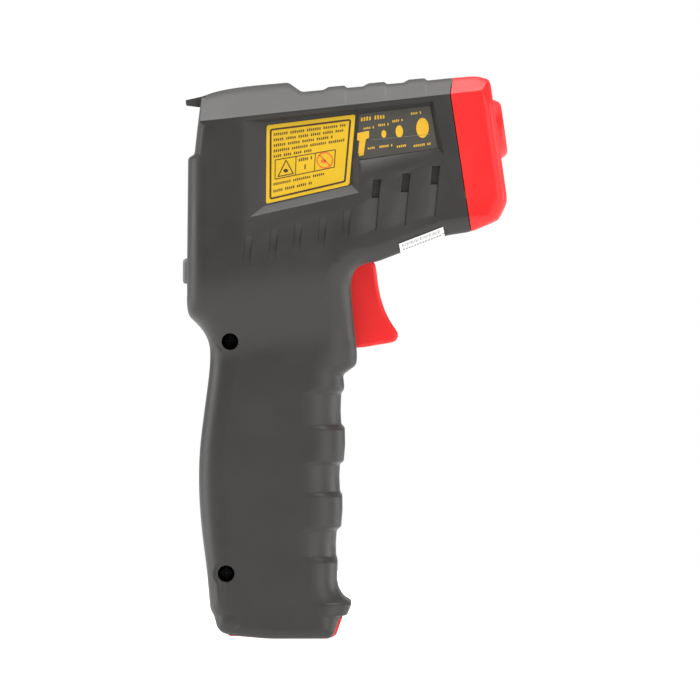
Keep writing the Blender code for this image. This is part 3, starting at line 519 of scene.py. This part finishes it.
def housingSolid(firstY, wall=0.0, bothSides=False, side=1, seamChamfer=0.0):
    outline = smoothOutline()
    rings = [ringPoints(outline, step, wall) for step in range(ringCount)]
    if bothSides:
        mirrored = [[Vector((p.x, -p.y, p.z)) for p in ring] for ring in reversed(rings)]
        rings = mirrored + rings
    else:
        rings.insert(0, [Vector((p.x, firstY + seamChamfer, p.z)) for p in rings[0]])
        if seamChamfer:
            inner = []
            for point, (edge, toSide, _, _) in zip(rings[0], outline):
                along = (toSide - edge).normalized() * seamChamfer
                inner.append(Vector((point.x + along.x, firstY, point.z + along.y)))
            rings.insert(0, inner)
    bm = bmesh.new()
    loop = [bm.verts.new(point) for point in rings[0]]
    bm.faces.new(loop)
    for ring in rings[1:]:   # from the seam out to the flat side face
        fresh = [bm.verts.new(point) for point in ring]
        joinLoops(bm, loop, fresh)
        loop = fresh
    bm.faces.new(loop)
    slope = housing["waistSlope"]
    levels = [housing["waistLow"] + housing["waistStep"] * step for step in range(housing["waistCuts"])]
    for level in levels:
        bmesh.ops.bisect_plane(
            bm, geom=bm.verts[:] + bm.edges[:] + bm.faces[:], plane_co=(0, 0, level),
            plane_no=(-slope, 0, 1), dist=0.001,
        )
    gridLines = range(housing["gridFrom"], housing["gridTo"], housing["gridStep"])
    for x in gridLines:   # a grid of points over the waist keeps its shading even
        waist = []
        for face in bm.faces:
            heights = [vert.co.z - slope * vert.co.x for vert in face.verts]
            if min(heights) > levels[0] - 0.1 and max(heights) < levels[-1] + 0.1:
                waist.append(face)
        edges = {edge for face in waist for edge in face.edges}
        verts = {vert for face in waist for vert in face.verts}
        bmesh.ops.bisect_plane(
            bm, geom=sorted(verts, key=lambda v: v.index) + list(edges) + waist, plane_co=(x, 0, 0),
            plane_no=(1, 0, 0), dist=0.001,
        )
    for vert in bm.verts:
        if abs(vert.co.y) > 1.5:
            vert.co.y *= halfWidth(vert.co.x, vert.co.z) / housing["half"]
        vert.co.y *= side
    return faceOutwards(bm)


def noseRegion(margin):
    seam = [(33.3, 182.0), (33.3, 174.5), (32.5, 169.4), (38.9, 126.9), (39.2, 120.0)]
    return sidePrism([(x + margin, z) for x, z in seam] + [(62.0, 120.0), (62.0, 182.0)], -40, 40)


def sideBlock(low, high, side):
    if side > 0:
        return block(low, high)
    return block((low[0], -high[1], low[2]), (high[0], -low[1], high[2]))


def sideRod(radius, centre, inner, outer, side, facets=40):
    low, high = sorted((inner * side, outer * side))
    return crossRod(radius, centre, low, high, facets)


def onAxis(along, across=0.0):
    x, z = opticAxis["face"]
    tilt = opticAxis["tilt"]
    return Vector((x + along * cos(tilt) - across * sin(tilt), 0, z + along * sin(tilt) + across * cos(tilt)))


def optic(profile, across=0.0, facets=96):
    return lathe(profile, onAxis(0, across), (cos(opticAxis["tilt"]), 0, sin(opticAxis["tilt"])), facets)


def pocket(mouth, floor, depths, side):   # a cut from the mouth to the floor; a depth for each corner
    half = housing["half"]
    rings = [
        [(x, half + 6.0, z) for x, z in mouth],
        [(x, half, z) for x, z in mouth],
        [(x, half - depth, z) for (x, z), depth in zip(floor, depths)],
    ]
    bm = bmesh.new()
    loops = [[bm.verts.new((x, y * side, z)) for x, y, z in ring] for ring in rings]
    bm.faces.new(loops[0])
    for near, far in zip(loops, loops[1:]):
        joinLoops(bm, near, far)
    bm.faces.new(loops[-1])
    if len(floor) == 6:
        bmesh.ops.connect_verts(bm, verts=[loops[-1][2], loops[-1][5]])
    return faceOutwards(bm)


flank = {
    "labelFloor": [(-25.4, 134.6), (1.9, 141.2), (3.4, 164.2), (-24.9, 160.6)],
    "labelMouth": [(-29.8, 131.2), (4.2, 138.8), (3.9, 165.0), (-31.0, 161.2)],
    "labelDepth": 2.1,
    "spotFloor": [(1.9, 148.4), (28.9, 152.6), (26.5, 166.4), (2.4, 163.9)],
    "spotMouth": [(4.8, 145.2), (30.6, 150.6), (27.3, 167.2), (2.4, 164.7)],
    "spotDepth": 2.0,
    "lean": 0.095, "longSlots": [(9.1, 135.0), (18.2, 136.8), (27.4, 139.2)],
    "shortSlots": [(-30.4, 120.8), (-22.4, 123.0), (-14.9, 125.0), (-7.3, 126.4), (0.2, 128.8)],
    "shortDepths": [0.06, 0.06, 0.75, 0.06, 0.06, 0.55], "windowDepth": 1.9,
    "longDepths": [0.1, 0.65, 0.65, 0.1],
}


def slotOutline(x, z, half, reach, inset=0.0, waist=False):
    corners = []
    steps = [(-1, -1), (1, -1), (1, 0), (1, 1), (-1, 1), (-1, 0)]
    for sideways, up in steps:
        if up == 0 and not waist:
            continue
        height = up * (reach - inset)
        corners.append((x + sideways * (half - inset) + flank["lean"] * height, z + height))
    return corners


def flankCuts(side):
    cuts = []
    for area in ("label", "spot"):
        depth = flank[area + "Depth"]
        cuts.append(pocket(flank[area + "Mouth"], flank[area + "Floor"], [depth] * 4, side))
    for x, z in flank["shortSlots"]:   # fade out at both ends
        mouth, floor = slotOutline(x, z, 1.2, 4.6, 0, True), slotOutline(x, z, 1.2, 4.6, 0.2, True)
        cuts.append(pocket(mouth, floor, flank["shortDepths"], side))
    for x, z in flank["longSlots"]:   # deepest along the front edge, with a sunk window above
        mouth, floor = slotOutline(x, z, 1.3, 8.0), slotOutline(x, z, 1.3, 8.0, 0.15)
        cuts.append(pocket(mouth, floor, flank["longDepths"], side))
        top = (x + flank["lean"] * 5.0, z + 5.0)
        mouth, floor = slotOutline(*top, 1.3, 2.9), slotOutline(*top, 1.3, 2.9, 0.1)
        cuts.append(pocket(mouth, floor, [flank["windowDepth"]] * 4, side))
    return cuts


ribs = {   # inner corner and outer corner, on the left half
    "nose seat": ((29.0, 0.15, 131.0), (31.0, 22.0, 169.5)),
    "label backing": ((-34.0, 19.4, 126.0), (31.5, 22.0, 162.0)),
    "main board, back": ((-39.3, 15.2, 108.5), (-37.9, 22.0, 156.0)),
    "main board, front": ((-35.7, 15.2, 108.5), (-34.3, 22.0, 156.0)),
    "switch board, back": ((-14.6, 5.6, 88.0), (-13.3, 16.4, 109.0)),
    "switch board, front": ((-11.0, 5.6, 88.0), (-9.7, 16.4, 109.0)),
}
bosses = {   # radii
    "screwHead": 4.2, "screwThread": 3.4, "trigger": 3.0, "door": 1.9, "screwHole": 1.7, "screwRecess": 2.65,
    "pinHole": 1.1,
}
hoodLip = [(-49.5, 165.8), (-43.4, 165.0), (-43.4, 168.9), (-49.7, 167.5)]
openings = {   # in X and Z
    "trigger": [(-7.0, 90.0), (7.0, 90.0), (12.0, 104.0), (10.2, 117.0), (10.2, 125.0), (-7.0, 125.0)],
    "door": [(-37.8, -1.0), (4.0, -1.0), (4.0, 7.0), (-5.4, 7.0), (-5.4, 6.0), (-37.8, 6.0)],
}


def makeShell(name, side):
    gap = housing["gap"]
    wall = housing["wall"]
    shell = makePiece(name, housingSolid(gap / 2, side=side, seamChamfer=housing["seamChamfer"]), charcoal)
    lipOutline = roundedPolygon(hoodLip, 0.2, 3)
    low, high = sorted((gap / 2 * side, housing["lipHalf"] * side))
    combine(shell, [sidePrism(lipOutline, low, high)], "UNION")
    if side > 0:   # a tongue under the other half's wall closes the seam
        combine(shell, [housingSolid(-housing["tongue"], wall + 0.06)], "UNION")
        hollow = [housingSolid(-3.0, wall + 0.9), housingSolid(1.4, wall)]
        hollow += [crossRod(4.5, centre, -3.0, 0.0) for centre in screwSpots.values()]
    else:
        hollow = [housingSolid(-1.0, wall, side=side)]
    combine(shell, hollow + [noseRegion(-gap / 2)], "DIFFERENCE")
    supports = [sideBlock(low, high, side) for low, high in ribs.values()]
    screwBoss = bosses["screwHead"] if side < 0 else bosses["screwThread"]
    for centre in screwSpots.values():
        supports.append(sideRod(screwBoss, centre, gap / 2, 16.0, side))
    supports.append(sideRod(bosses["trigger"], pivots["trigger"], triggerHalf + 0.6, 21.3, side))
    combine(shell, supports, "UNION")
    bore = opticAxis["tube"] + gap
    panelField = roundedRectangle(housing["panelHalf"], housing["panelLow"], housing["panelHigh"], 2.2)
    cuts = [
        sidePrism(openings["trigger"], -triggerHalf - 0.4, triggerHalf + 0.4),
        sidePrism(openings["door"], -doorHalf - housing["doorGap"], doorHalf + housing["doorGap"]),
        optic([(0, -60), (bore, -60), (bore, 9), (0, 9)]),
        optic([(0, -25), (3.3, -25), (3.3, 9), (0, 9)], opticAxis["laserDrop"]),
        backPlate(panelField, -60, -45.0),
        sideRod(bosses["pinHole"], pivots["trigger"], 0, 10.6, side),
    ]
    combine(shell, cuts, "DIFFERENCE")
    combine(shell, [sideRod(bosses["door"], pivots["door"], doorHalf + gap, 14.9, side)], "UNION")
    holes = [sideRod(bosses["pinHole"], pivots["door"], 0, 14.3, side)]
    for centre in screwSpots.values():
        if side < 0:
            holes.append(sideRod(bosses["screwRecess"], centre, 6.0, 30, side))
        holes.append(sideRod(bosses["screwHole"], centre, -1, 9, side))
    combine(shell, holes + flankCuts(side), "DIFFERENCE")
    cleanMesh(shell)
    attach(shell, "housing")
    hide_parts(name)
    return shell


for shellName, shellSide in (("right_shell", -1), ("left_shell", 1)):
    shellPiece = makeShell(shellName, shellSide)
    print(shellName, len(shellPiece.data.polygons))


# ---- nose cap and optics

def makeNoseCap():
    gap = housing["gap"]
    cap = makePiece("nose_cap", housingSolid(0, bothSides=True), redPlastic)
    combine(cap, [noseRegion(gap / 2)], "INTERSECT")
    root, tip, proud = opticAxis["bossRoot"], opticAxis["bossTip"], opticAxis["bossProud"]
    boss = [(0, -2.0), (root, -2.0), (root, -0.6), (root - 0.1, -0.3), (root - 0.35, 0.0)]
    boss += [(tip + 1.45, proud - 0.95), (tip + 1.15, proud - 0.55)]
    boss += [(tip + 0.45, proud - 0.1), (tip + 0.1, proud)]
    combine(cap, [optic(boss + [(0, proud)])], "UNION")
    bore = opticAxis["bezel"] + gap
    cuts = [
        housingSolid(0, housing["wall"], bothSides=True),
        optic([(0, -12), (bore, -12), (bore, proud - 0.3), (bore + 0.3, proud), (bore + 0.3, 9), (0, 9)]),
        optic([(0, -12), (2.0, -12), (2.0, -1.2), (3.4, 0.6), (3.4, 9), (0, 9)], opticAxis["laserDrop"], 48),
    ]
    combine(cap, cuts, "DIFFERENCE")
    cleanMesh(cap)
    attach(cap, "housing")
    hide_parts("nose_cap")
    return cap


def makeOptics():
    proud, outer, seat = opticAxis["proud"], opticAxis["bezel"], opticAxis["lens"] + housing["gap"]
    profile = [(4.6, -0.6)]
    for step in range(4):   # stepped anti-glare throat
        profile += [(4.62 + 0.18 * step, -0.35 + 0.6 * step), (4.76 + 0.18 * step, -0.3 + 0.6 * step)]
    profile += [(5.45, proud - 0.12), (5.55, proud)]
    profile += arc((outer - 0.4, proud - 0.4), 0.4, 90, 0, 4)
    profile += [(outer, -3.0), (9.0, -3.0), (9.0, -4.6), (seat, -4.6), (seat, -0.6)]
    bezel = makePiece("lens_bezel_ring", optic(profile), blackPlastic)
    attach(bezel, "housing")
    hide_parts("lens_bezel")
    rim = opticAxis["lens"]
    turns = [pi / 24 * step for step in range(12)]
    dome = [(rim * cos(turn), -1.6 + 1.15 * sin(turn)) for turn in turns] + [(0, -0.45)]
    lens = makePiece("coated_lens", optic([(0, -2.9), (rim, -2.9)] + dome), lensGlass, 60)
    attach(lens, "housing")
    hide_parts("ir_lens")


makeNoseCap()
makeOptics()
print("nose and optics ready")


# ---- trigger, door and keys

trigger = {
    "blade": [
        (9.2, 116.9), (7.0, 118.4), (2.6, 117.8), (0.3, 114.5), (-1.0, 112.0), (-2.2, 104.0), (-1.6, 93.5),
        (-0.4, 90.5), (5.4, 90.4), (9.5, 91.2), (14.8, 92.0), (16.0, 92.9), (16.5, 94.1), (16.1, 95.4),
        (14.3, 97.9), (12.4, 101.5), (10.9, 106.0), (10.1, 110.5), (9.8, 113.4),
    ],
    "edge": 1.2, "corner": 2.2,
}


def makeTrigger():
    outline = roundedPolygon(trigger["blade"], trigger["corner"], 4)
    blade = sidePrism(outline, -triggerHalf, triggerHalf, trigger["edge"], 5)
    lever = makePiece("trigger_blade", blade, redPlastic)
    eye = arc(pivots["trigger"], 3.0, -30, 210, 24) + [(1.8, 116.5), (7.4, 116.5)]
    combine(lever, [sidePrism(eye, -4.0, 4.0, 0.4, 2)], "UNION")
    # room for the leg of the spring when the trigger is pulled
    springWay = sidePrism([(-5.0, 106.6), (0.9, 106.6), (3.6, 119.6), (-5.0, 119.6)], 4.1, 5.3)
    combine(lever, [crossRod(1.08, pivots["trigger"], -9, 9), springWay], "DIFFERENCE")
    cleanMesh(lever, 42)
    evenNormals(lever)
    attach(lever, "trigger")
    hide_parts("trigger")


thumbGrooves = {"count": 6, "from": -14.0, "pitch": 1.7, "depth": 0.75, "half": 7.0}


def makeDoor():
    x, z = pivots["door"]
    outline = [(x, z - 2.3), (-4.2, 0.3), (-2.8, 1.3), (-0.95, 6.6), (-3.6, 6.6), (-4.9, 2.4)]
    outline += arc((x, z), 2.3, -5, 262, 28)
    door = makePiece("battery_door_plate", sidePrism(outline, -doorHalf, doorHalf, 0.3, 2), redPlastic)
    grips = []
    deep, half = thumbGrooves["depth"], thumbGrooves["half"]
    for step in range(thumbGrooves["count"]):   # shallow, across the underside
        left = thumbGrooves["from"] + thumbGrooves["pitch"] * step
        groove = [(left, 0.0), (left + 0.9, 0.0), (left + 0.7, deep), (left + 0.2, deep)]
        grips.append(sidePrism(groove, -half, half))
    combine(door, grips + [crossRod(1.08, (x, z), -20, 20)], "DIFFERENCE")
    cleanMesh(door)
    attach(door, "battery_door")
    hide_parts("battery_door")


keys = {"pitch": 10.4, "half": 3.8, "low": 110.4, "high": 118.1, "tip": -50.6}


def makeKeys():
    middle = (keys["low"] + keys["high"]) / 2
    marks = {
        "left": [(-1.5, middle + 1.1), (1.5, middle + 1.1), (0, middle - 1.5)],
        "middle": arc((0, middle), 1.4, 0, 337.5, 15),
        "right": [(-1.5, middle - 1.1), (1.5, middle - 1.1), (0, middle + 1.5)],
    }
    for place, y in (("left", keys["pitch"]), ("middle", 0.0), ("right", -keys["pitch"])):
        outline = roundedRectangle(keys["half"], keys["low"], keys["high"], 1.6, 6, y)
        cap = makePiece("key_cap_" + place, backPlate(outline, keys["tip"] + 0.02, -45.6, 0.9, 5), keyRubber)
        flange = roundedRectangle(keys["half"] + 0.9, keys["low"] - 0.9, keys["high"] + 0.9, 1.6, 4, y)
        stem = lathe([(0, 0), (1.5, 0), (1.5, 3.3), (0, 3.3)], (-45.5, y, middle), (1, 0, 0), 24)
        combine(cap, [backPlate(flange, -46.1, -45.1), stem], "UNION")
        cleanMesh(cap, 42)
        evenNormals(cap)
        mark = makePiece(
            "key_mark_" + place,
            backPlate([(a + y, b) for a, b in marks[place]], keys["tip"], keys["tip"] + 0.3), paleInk,
        )
        for part in (cap, mark):
            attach(part, "key_" + place)
        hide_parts("key_" + place)


makeTrigger()
makeDoor()
makeKeys()
print("moving pieces ready")


# ---- back panel and display

backPanel = {"half": 16.0, "low": 106.0, "high": 148.4, "window": (13.2, 124.0, 145.6), "windowGap": 0.3}


def makePanel():
    outline = roundedRectangle(backPanel["half"], backPanel["low"], backPanel["high"], 2.0, 8)
    panel = makePiece("back_panel", backPlate(outline, -48.8, -46.4, 0.35, 3), blackPlastic)
    half, low, high = backPanel["window"]
    room = backPanel["windowGap"]
    cuts = [backPlate(roundedRectangle(half + room, low - room, high + room, 1.5, 6), -52, -40)]
    for y in (-keys["pitch"], 0.0, keys["pitch"]):
        hole = roundedRectangle(keys["half"] + 0.3, keys["low"] - 0.3, keys["high"] + 0.3, 1.7, 6, y)
        cuts.append(backPlate(hole, -52, -40))
    combine(panel, cuts, "DIFFERENCE")
    cleanMesh(panel)
    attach(panel, "housing")
    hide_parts("rear_panel")
    window = roundedRectangle(half, low, high, 1.4, 6)
    pane = makePiece("display_pane", backPlate(window, -48.5, -46.9, 0.25, 2), windowGlass)
    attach(pane, "housing")
    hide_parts("display_window")


digits = {"wide": 5.4, "tall": 10.0, "stroke": 1.0, "back": -45.95, "low": 130.0, "places": (8.0, 0.0, -8.0)}


def makeDigits():   # segments of a display that is switched off
    bm = bmesh.new()
    size, low = digits, digits["low"]
    for y in digits["places"]:
        bars = []
        for level in (0.0, size["tall"] / 2, size["tall"]):
            bars.append((y - size["wide"] / 2 + 0.7, low + level - 0.5, size["wide"] - 1.4, size["stroke"]))
        for column in (-1, 1):
            for level in (0.0, size["tall"] / 2):
                left = y + column * size["wide"] / 2 - size["stroke"] / 2
                bars.append((left, low + level + 0.7, size["stroke"], size["tall"] / 2 - 1.4))
        for left, bottom, wide, tall in bars:
            right, top = left + wide, bottom + tall
            corners = [(left, bottom), (right, bottom), (right, top), (left, top)]
            base = bm.faces.new([bm.verts.new((size["back"], a, b)) for a, b in corners])
            extrudeFace(bm, base, (0.08, 0, 0))
    segments = makePiece("display_segments", faceOutwards(bm), segmentInk)
    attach(segments, "housing")


makePanel()
makeDigits()
print("back panel ready")


# ---- labels: printed film with generic marks as thin inlays

def labelPlate(name, corners, low, high, material, replaced, slot, radius=1.4):
    plate = makePiece(name, sidePrism(roundedPolygon(corners, radius, 5), low, high, 0.06, 1), material)
    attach(plate, "housing")
    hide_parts(replaced)


def quadPoint(corners, u, v):   # corners: lower left, lower right, upper right, upper left
    lowerLeft, lowerRight, upperRight, upperLeft = [Vector(corner) for corner in corners]
    lower = lowerLeft.lerp(lowerRight, u)
    return lower.lerp(upperLeft.lerp(upperRight, u), v)


def printMarks(name, shapes, outerY, material, depth=0.05):
    bm = bmesh.new()
    for outline in shapes:
        base = bm.faces.new([bm.verts.new((x, outerY, z)) for x, z in outline])
        extrudeFace(bm, base, (0, depth, 0))
    marks = makePiece(name, faceOutwards(bm), material)
    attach(marks, "housing")


def barShapes(corners, rows, cell=0.62):   # rows: v of the middle, u start and end, height, bars in a word
    shapes = []
    wide = (Vector(corners[1]) - Vector(corners[0])).length
    for row, (v, start, end, height, words) in enumerate(rows):
        step = cell / wide
        count = int((end - start) / step)
        for bar in range(count):
            if bar % (words + 1) == words:
                continue   # a gap between words
            left = start + step * bar
            right = left + step * 0.6
            tall = height / 2 * (0.72 + 0.28 * sin(2.3 * bar + 1.7 * row) ** 2)
            low = v - height / 2
            spots = ((left, low), (right, low), (right, v + tall), (left, v + tall))
            shapes.append([tuple(quadPoint(corners, a, b)) for a, b in spots])
    return shapes


def strip(start, end, width):
    start, end = Vector(start), Vector(end)
    side = (end - start).normalized().orthogonal() * width / 2
    return [tuple(start - side), tuple(end - side), tuple(end + side), tuple(start + side)]


def frameStrips(points, width):
    return [strip(a, b, width) for a, b in zip(points, points[1:] + points[:1])]


def ellipse(x, z, radiusX, radiusZ, steps=32):
    turns = [2 * pi * step / steps for step in range(steps)]
    return [(x + radiusX * cos(turn), z + radiusZ * sin(turn)) for turn in turns]


warning = {
    "corners": [(-24.7, 135.3), (1.2, 141.2), (3.1, 163.1), (-24.5, 159.7)],
    "inner": [(-23.3, 136.9), (-0.2, 142.3), (1.5, 161.4), (-23.2, 158.3)],
    "rows": [
        (0.925, 0.04, 0.97, 0.042, 7), (0.845, 0.04, 0.93, 0.042, 5), (0.765, 0.04, 0.80, 0.042, 6),
        (0.685, 0.04, 0.98, 0.042, 8), (0.605, 0.04, 0.54, 0.042, 4), (0.20, 0.04, 0.74, 0.038, 9),
        (0.10, 0.04, 0.57, 0.042, 5),
    ],
}


def makeWarningLabel():
    surface = -(housing["half"] - flank["labelDepth"]) - 0.03
    film = (surface - 0.12, surface, yellowFilm)
    labelPlate("yellow_sticker", warning["corners"], *film, "warning_label", "yellow_label", 0.8)
    inner = warning["inner"]
    shapes = barShapes(inner, warning["rows"])
    boxes = [quadPoint(inner, u, v) for u, v in ((0.06, 0.27), (0.84, 0.27), (0.84, 0.55), (0.06, 0.55))]
    shapes += frameStrips([tuple(p) for p in boxes], 0.28)
    for u in (0.33, 0.58):
        shapes.append(strip(quadPoint(inner, u, 0.27), quadPoint(inner, u, 0.55), 0.25))
    triangle = [quadPoint(inner, u, v) for u, v in ((0.10, 0.30), (0.30, 0.30), (0.20, 0.52))]
    shapes += frameStrips([tuple(p) for p in triangle], 0.32)
    dot = quadPoint(inner, 0.20, 0.365)
    shapes.append(ellipse(dot.x, dot.y, 0.75, 0.6, 12))
    shapes += barShapes(inner, [(0.49, 0.365, 0.56, 0.05, 5), (0.37, 0.445, 0.49, 0.07, 1)])
    shapes += frameStrips(roundedPolygon(inner, 0.3, 2), 0.58)
    printMarks("yellow_sticker_print", shapes, surface - 0.15, brownInk, 0.06)
    ring = quadPoint(inner, 0.71, 0.41)
    signs = frameStrips(ellipse(ring.x, ring.y, 2.4, 2.4, 24), 0.42)
    signs.append(strip((ring.x - 1.7, ring.y + 1.7), (ring.x + 1.7, ring.y - 1.7), 0.42))
    signs.append(ellipse(ring.x - 0.5, ring.y - 0.3, 0.8, 0.6, 12))
    printMarks("yellow_sticker_sign", signs, surface - 0.15, orangeInk, 0.06)


spot = {
    "corners": [(3.6, 148.9), (28.6, 152.6), (26.3, 165.8), (4.2, 163.2)],
    "ellipses": [(11.9, 157.0, 0.75, 1.2), (16.7, 157.8, 1.15, 1.9), (23.9, 158.9, 1.95, 3.1)],
    "title": [(0.88, 0.03, 0.40, 0.09, 4)],
    "rows": [
        (0.67, 0.07, 0.22, 0.045, 4), (0.70, 0.27, 0.42, 0.055, 4), (0.75, 0.46, 0.61, 0.055, 4),
        (0.87, 0.72, 0.87, 0.055, 4), (0.22, 0.13, 0.25, 0.045, 4), (0.22, 0.28, 0.47, 0.055, 5),
        (0.17, 0.50, 0.67, 0.055, 5), (0.13, 0.71, 0.94, 0.055, 6),
    ],
    "pistol": [
        (3.7, 157.3), (7.3, 158.0), (7.3, 155.8), (6.3, 155.4), (5.6, 150.4), (3.9, 150.1), (4.3, 155.0),
        (3.6, 155.0),
    ],
    "rule": ((8.0, 155.2), (26.2, 156.9)),
}


def makeSpotLabel():
    surface = -(housing["half"] - flank["spotDepth"]) - 0.03
    corners = spot["corners"]
    film = (surface - 0.12, surface, darkFilm)
    labelPlate("spot_size_plate", corners, *film, "spot_size_label", "dark_label", 0.5)
    shapes = [ellipse(*values) for values in spot["ellipses"]]
    shapes += barShapes(corners, spot["title"], 0.95)
    shapes += barShapes(corners, spot["rows"])
    shapes.append(spot["pistol"])
    printMarks("spot_size_print", shapes, surface - 0.15, yellowInk, 0.06)
    printMarks("spot_size_rule", [strip(*spot["rule"], 0.09)], surface - 0.15, greyInk, 0.06)


def makeSerialLabel():   # small label on the sloping lower edge of the flank
    def onSlope(x, share, lift):
        z = 117.3 + 0.384 * (x - 9.8) + 5.0 * share
        y = -(housing["half"] - 2.5 * (1 - share))
        return Vector((x, y - 0.89 * lift, z - 0.45 * lift))

    def addPlate(bm, left, right, low, high, lift, thickness):
        spots = ((left, low), (right, low), (right, high), (left, high))
        outline = [onSlope(x + 0.9 * (0.5 - share), share, lift) for x, share in spots]
        base = bm.faces.new([bm.verts.new(point) for point in outline])
        extrudeFace(bm, base, (0, 0.89 * thickness, 0.45 * thickness))

    bm = bmesh.new()
    addPlate(bm, 16.7, 30.4, 0.0, 0.64, 0.45, 0.1)
    label = makePiece("serial_sticker", faceOutwards(bm), whiteFilm)
    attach(label, "housing")
    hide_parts("serial_label")
    bm = bmesh.new()
    for step in range(26):   # plain bars, no characters
        left = 17.6 + 0.46 * step
        addPlate(bm, left, left + (0.13 if step % 3 else 0.24), 0.34, 0.54, 0.48, 0.05)
    for step in range(14):
        left = 17.6 + 0.86 * step
        addPlate(bm, left, left + 0.55, 0.13, 0.22, 0.48, 0.05)
    marks = makePiece("serial_sticker_print", faceOutwards(bm), faintInk)
    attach(marks, "housing")


makeWarningLabel()
makeSpotLabel()
makeSerialLabel()
print("labels ready")


# ---- screws

def makeScrews():
    for place, (x, z) in screwSpots.items():
        profile = [(0, -8.2), (1.3, -8.2), (2.0, -7.9), (2.35, -7.3), (2.35, -6.3), (1.4, -6.3)]
        for step in range(16):   # thread along the shank
            y = -5.9 + 0.8 * step
            profile += [(1.15, y), (1.4, y + 0.3), (1.4, y + 0.4)]
        profile += [(1.0, 7.4), (0.3, 8.4), (0, 8.4)]
        screw = makePiece("screw_" + place, lathe(profile, (x, 0, z), (0, 1, 0), 32), darkSteel)
        arms = []   # the cross in the head
        for wide, tall in ((1.5, 0.3), (0.3, 1.5)):
            arms.append(block((x - wide, -9, z - tall), (x + wide, -7.0, z + tall)))
        combine(screw, arms, "DIFFERENCE")
        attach(screw, "housing")
        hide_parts("case_screw_" + place)


makeScrews()


# ---- finishes of the inner pieces that keep their CAD shape

innerFinishes = {
    "lens_tube": blackPlastic, "ir_sensor": steel, "sensor_board": boardGreen, "laser_window": windowGlass,
    "laser_module": brass, "lcd_module": displayGlass, "main_board": boardGreen, "buzzer": blackPlastic,
    "key_switch_left": steel, "key_switch_middle": steel, "key_switch_right": steel, "trigger_pin": steel,
    "trigger_spring": steel, "trigger_switch": blackPlastic, "switch_board": boardGreen, "battery": jacket,
    "battery_snap": blackPlastic, "battery_lead_red": wireRed, "battery_lead_black": blackPlastic,
    "battery_door_pin": steel,
}
for nodeName, nodeFinish in innerFinishes.items():
    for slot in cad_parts[nodeName].material_slots:
        slot.material = nodeFinish
print("inner pieces finished")


# ---- stage, light and camera

studio = {
    "floor": (0.30, 0.30, 0.30), "floorLight": (0.34, 0.34, 0.34),
    "glow": 1.15, "roomLight": 0.47, "distance": 4.0, "fieldWidth": 0.2184,
    "sensor": 36.0, "centre": (0.0014, 0.0896), "elevation": radians(1.0),
    "boxes": {   # place, target, size, watts
        "top box": ((-0.05, -0.18, 0.95), (0, -0.18, 0.15), (0.9, 1.1), 18.0),
        "front right box": ((0.9, -1.2, 0.2), (0, 0, 0.09), (0.8, 0.6), 5.0),
        "front rim": ((0.9, 0.02, 0.06), (0, 0, 0.05), (0.5, 0.5), 3.3),
        "rear rim": ((-0.9, 0.02, 0.06), (0, 0, 0.06), (0.5, 0.5), 3.3),
    },
}


def makeStage():
    bm = bmesh.new()
    bmesh.ops.create_grid(bm, x_segments=2, y_segments=2, size=600)
    bmesh.ops.translate(bm, vec=(0, 0, -0.15), verts=bm.verts)   # just clear of the foot
    material, nodes, links = newMaterial("pale floor")
    shader = nodes["Principled BSDF"]
    place = nodes.new("ShaderNodeTexCoord")
    haze = addNoise(nodes, links, place, 3.0, 2.0)
    colour = addMix(nodes, links, haze.outputs["Fac"], studio["floor"], studio["floorLight"])
    links.new(colour, shader.inputs["Base Color"])
    shader.inputs["Roughness"].default_value = 0.2
    shader.inputs["Emission Color"].default_value = (1, 1, 1, 1)
    shader.inputs["Emission Strength"].default_value = studio["glow"]
    floor = makePiece("floor", bm, material)


def addBox(name, place, target, size, watts):
    light = bpy.data.lights.new(name, "AREA")
    light.shape = "RECTANGLE"
    light.size, light.size_y = size
    light.energy = watts
    lamp = bpy.data.objects.new(name, light)
    lamp.location = place
    lamp.rotation_euler = (Vector(target) - Vector(place)).to_track_quat("-Z", "Y").to_euler()
    bpy.context.scene.collection.objects.link(lamp)


def makeRoom():   # seen as white, but lights the object more gently
    room = bpy.data.worlds.new("soft white room")
    room.use_nodes = True
    nodes, links = room.node_tree.nodes, room.node_tree.links
    plain = nodes["Background"]
    plain.inputs["Color"].default_value = (1, 1, 1, 1)
    plain.inputs["Strength"].default_value = studio["roomLight"]
    white = nodes.new("ShaderNodeBackground")
    white.inputs["Color"].default_value = (1, 1, 1, 1)
    rays = nodes.new("ShaderNodeLightPath")
    mix = nodes.new("ShaderNodeMixShader")
    links.new(rays.outputs["Is Camera Ray"], mix.inputs[0])
    links.new(plain.outputs[0], mix.inputs[1])
    links.new(white.outputs[0], mix.inputs[2])
    links.new(mix.outputs[0], nodes["World Output"].inputs["Surface"])
    bpy.context.scene.world = room


def makeStudio():
    scene = bpy.context.scene
    scene.view_settings.view_transform = "Standard"
    makeRoom()
    for name, setting in studio["boxes"].items():
        addBox(name, *setting)
    camera = bpy.data.cameras.new("camera")
    camera.sensor_width = studio["sensor"]
    camera.lens = studio["sensor"] * studio["distance"] / studio["fieldWidth"]
    camera.clip_start = 0.05
    camera.clip_end = 30.0
    viewer = bpy.data.objects.new("camera", camera)
    x, z = studio["centre"]
    away, rise = studio["distance"], studio["elevation"]
    viewer.location = (x, -away * cos(rise), z + away * sin(rise))
    viewer.rotation_euler = (Vector((x, 0, z)) - viewer.location).to_track_quat("-Z", "Y").to_euler()
    scene.collection.objects.link(viewer)
    scene.camera = viewer


makeStage()
makeStudio()
print("studio ready")
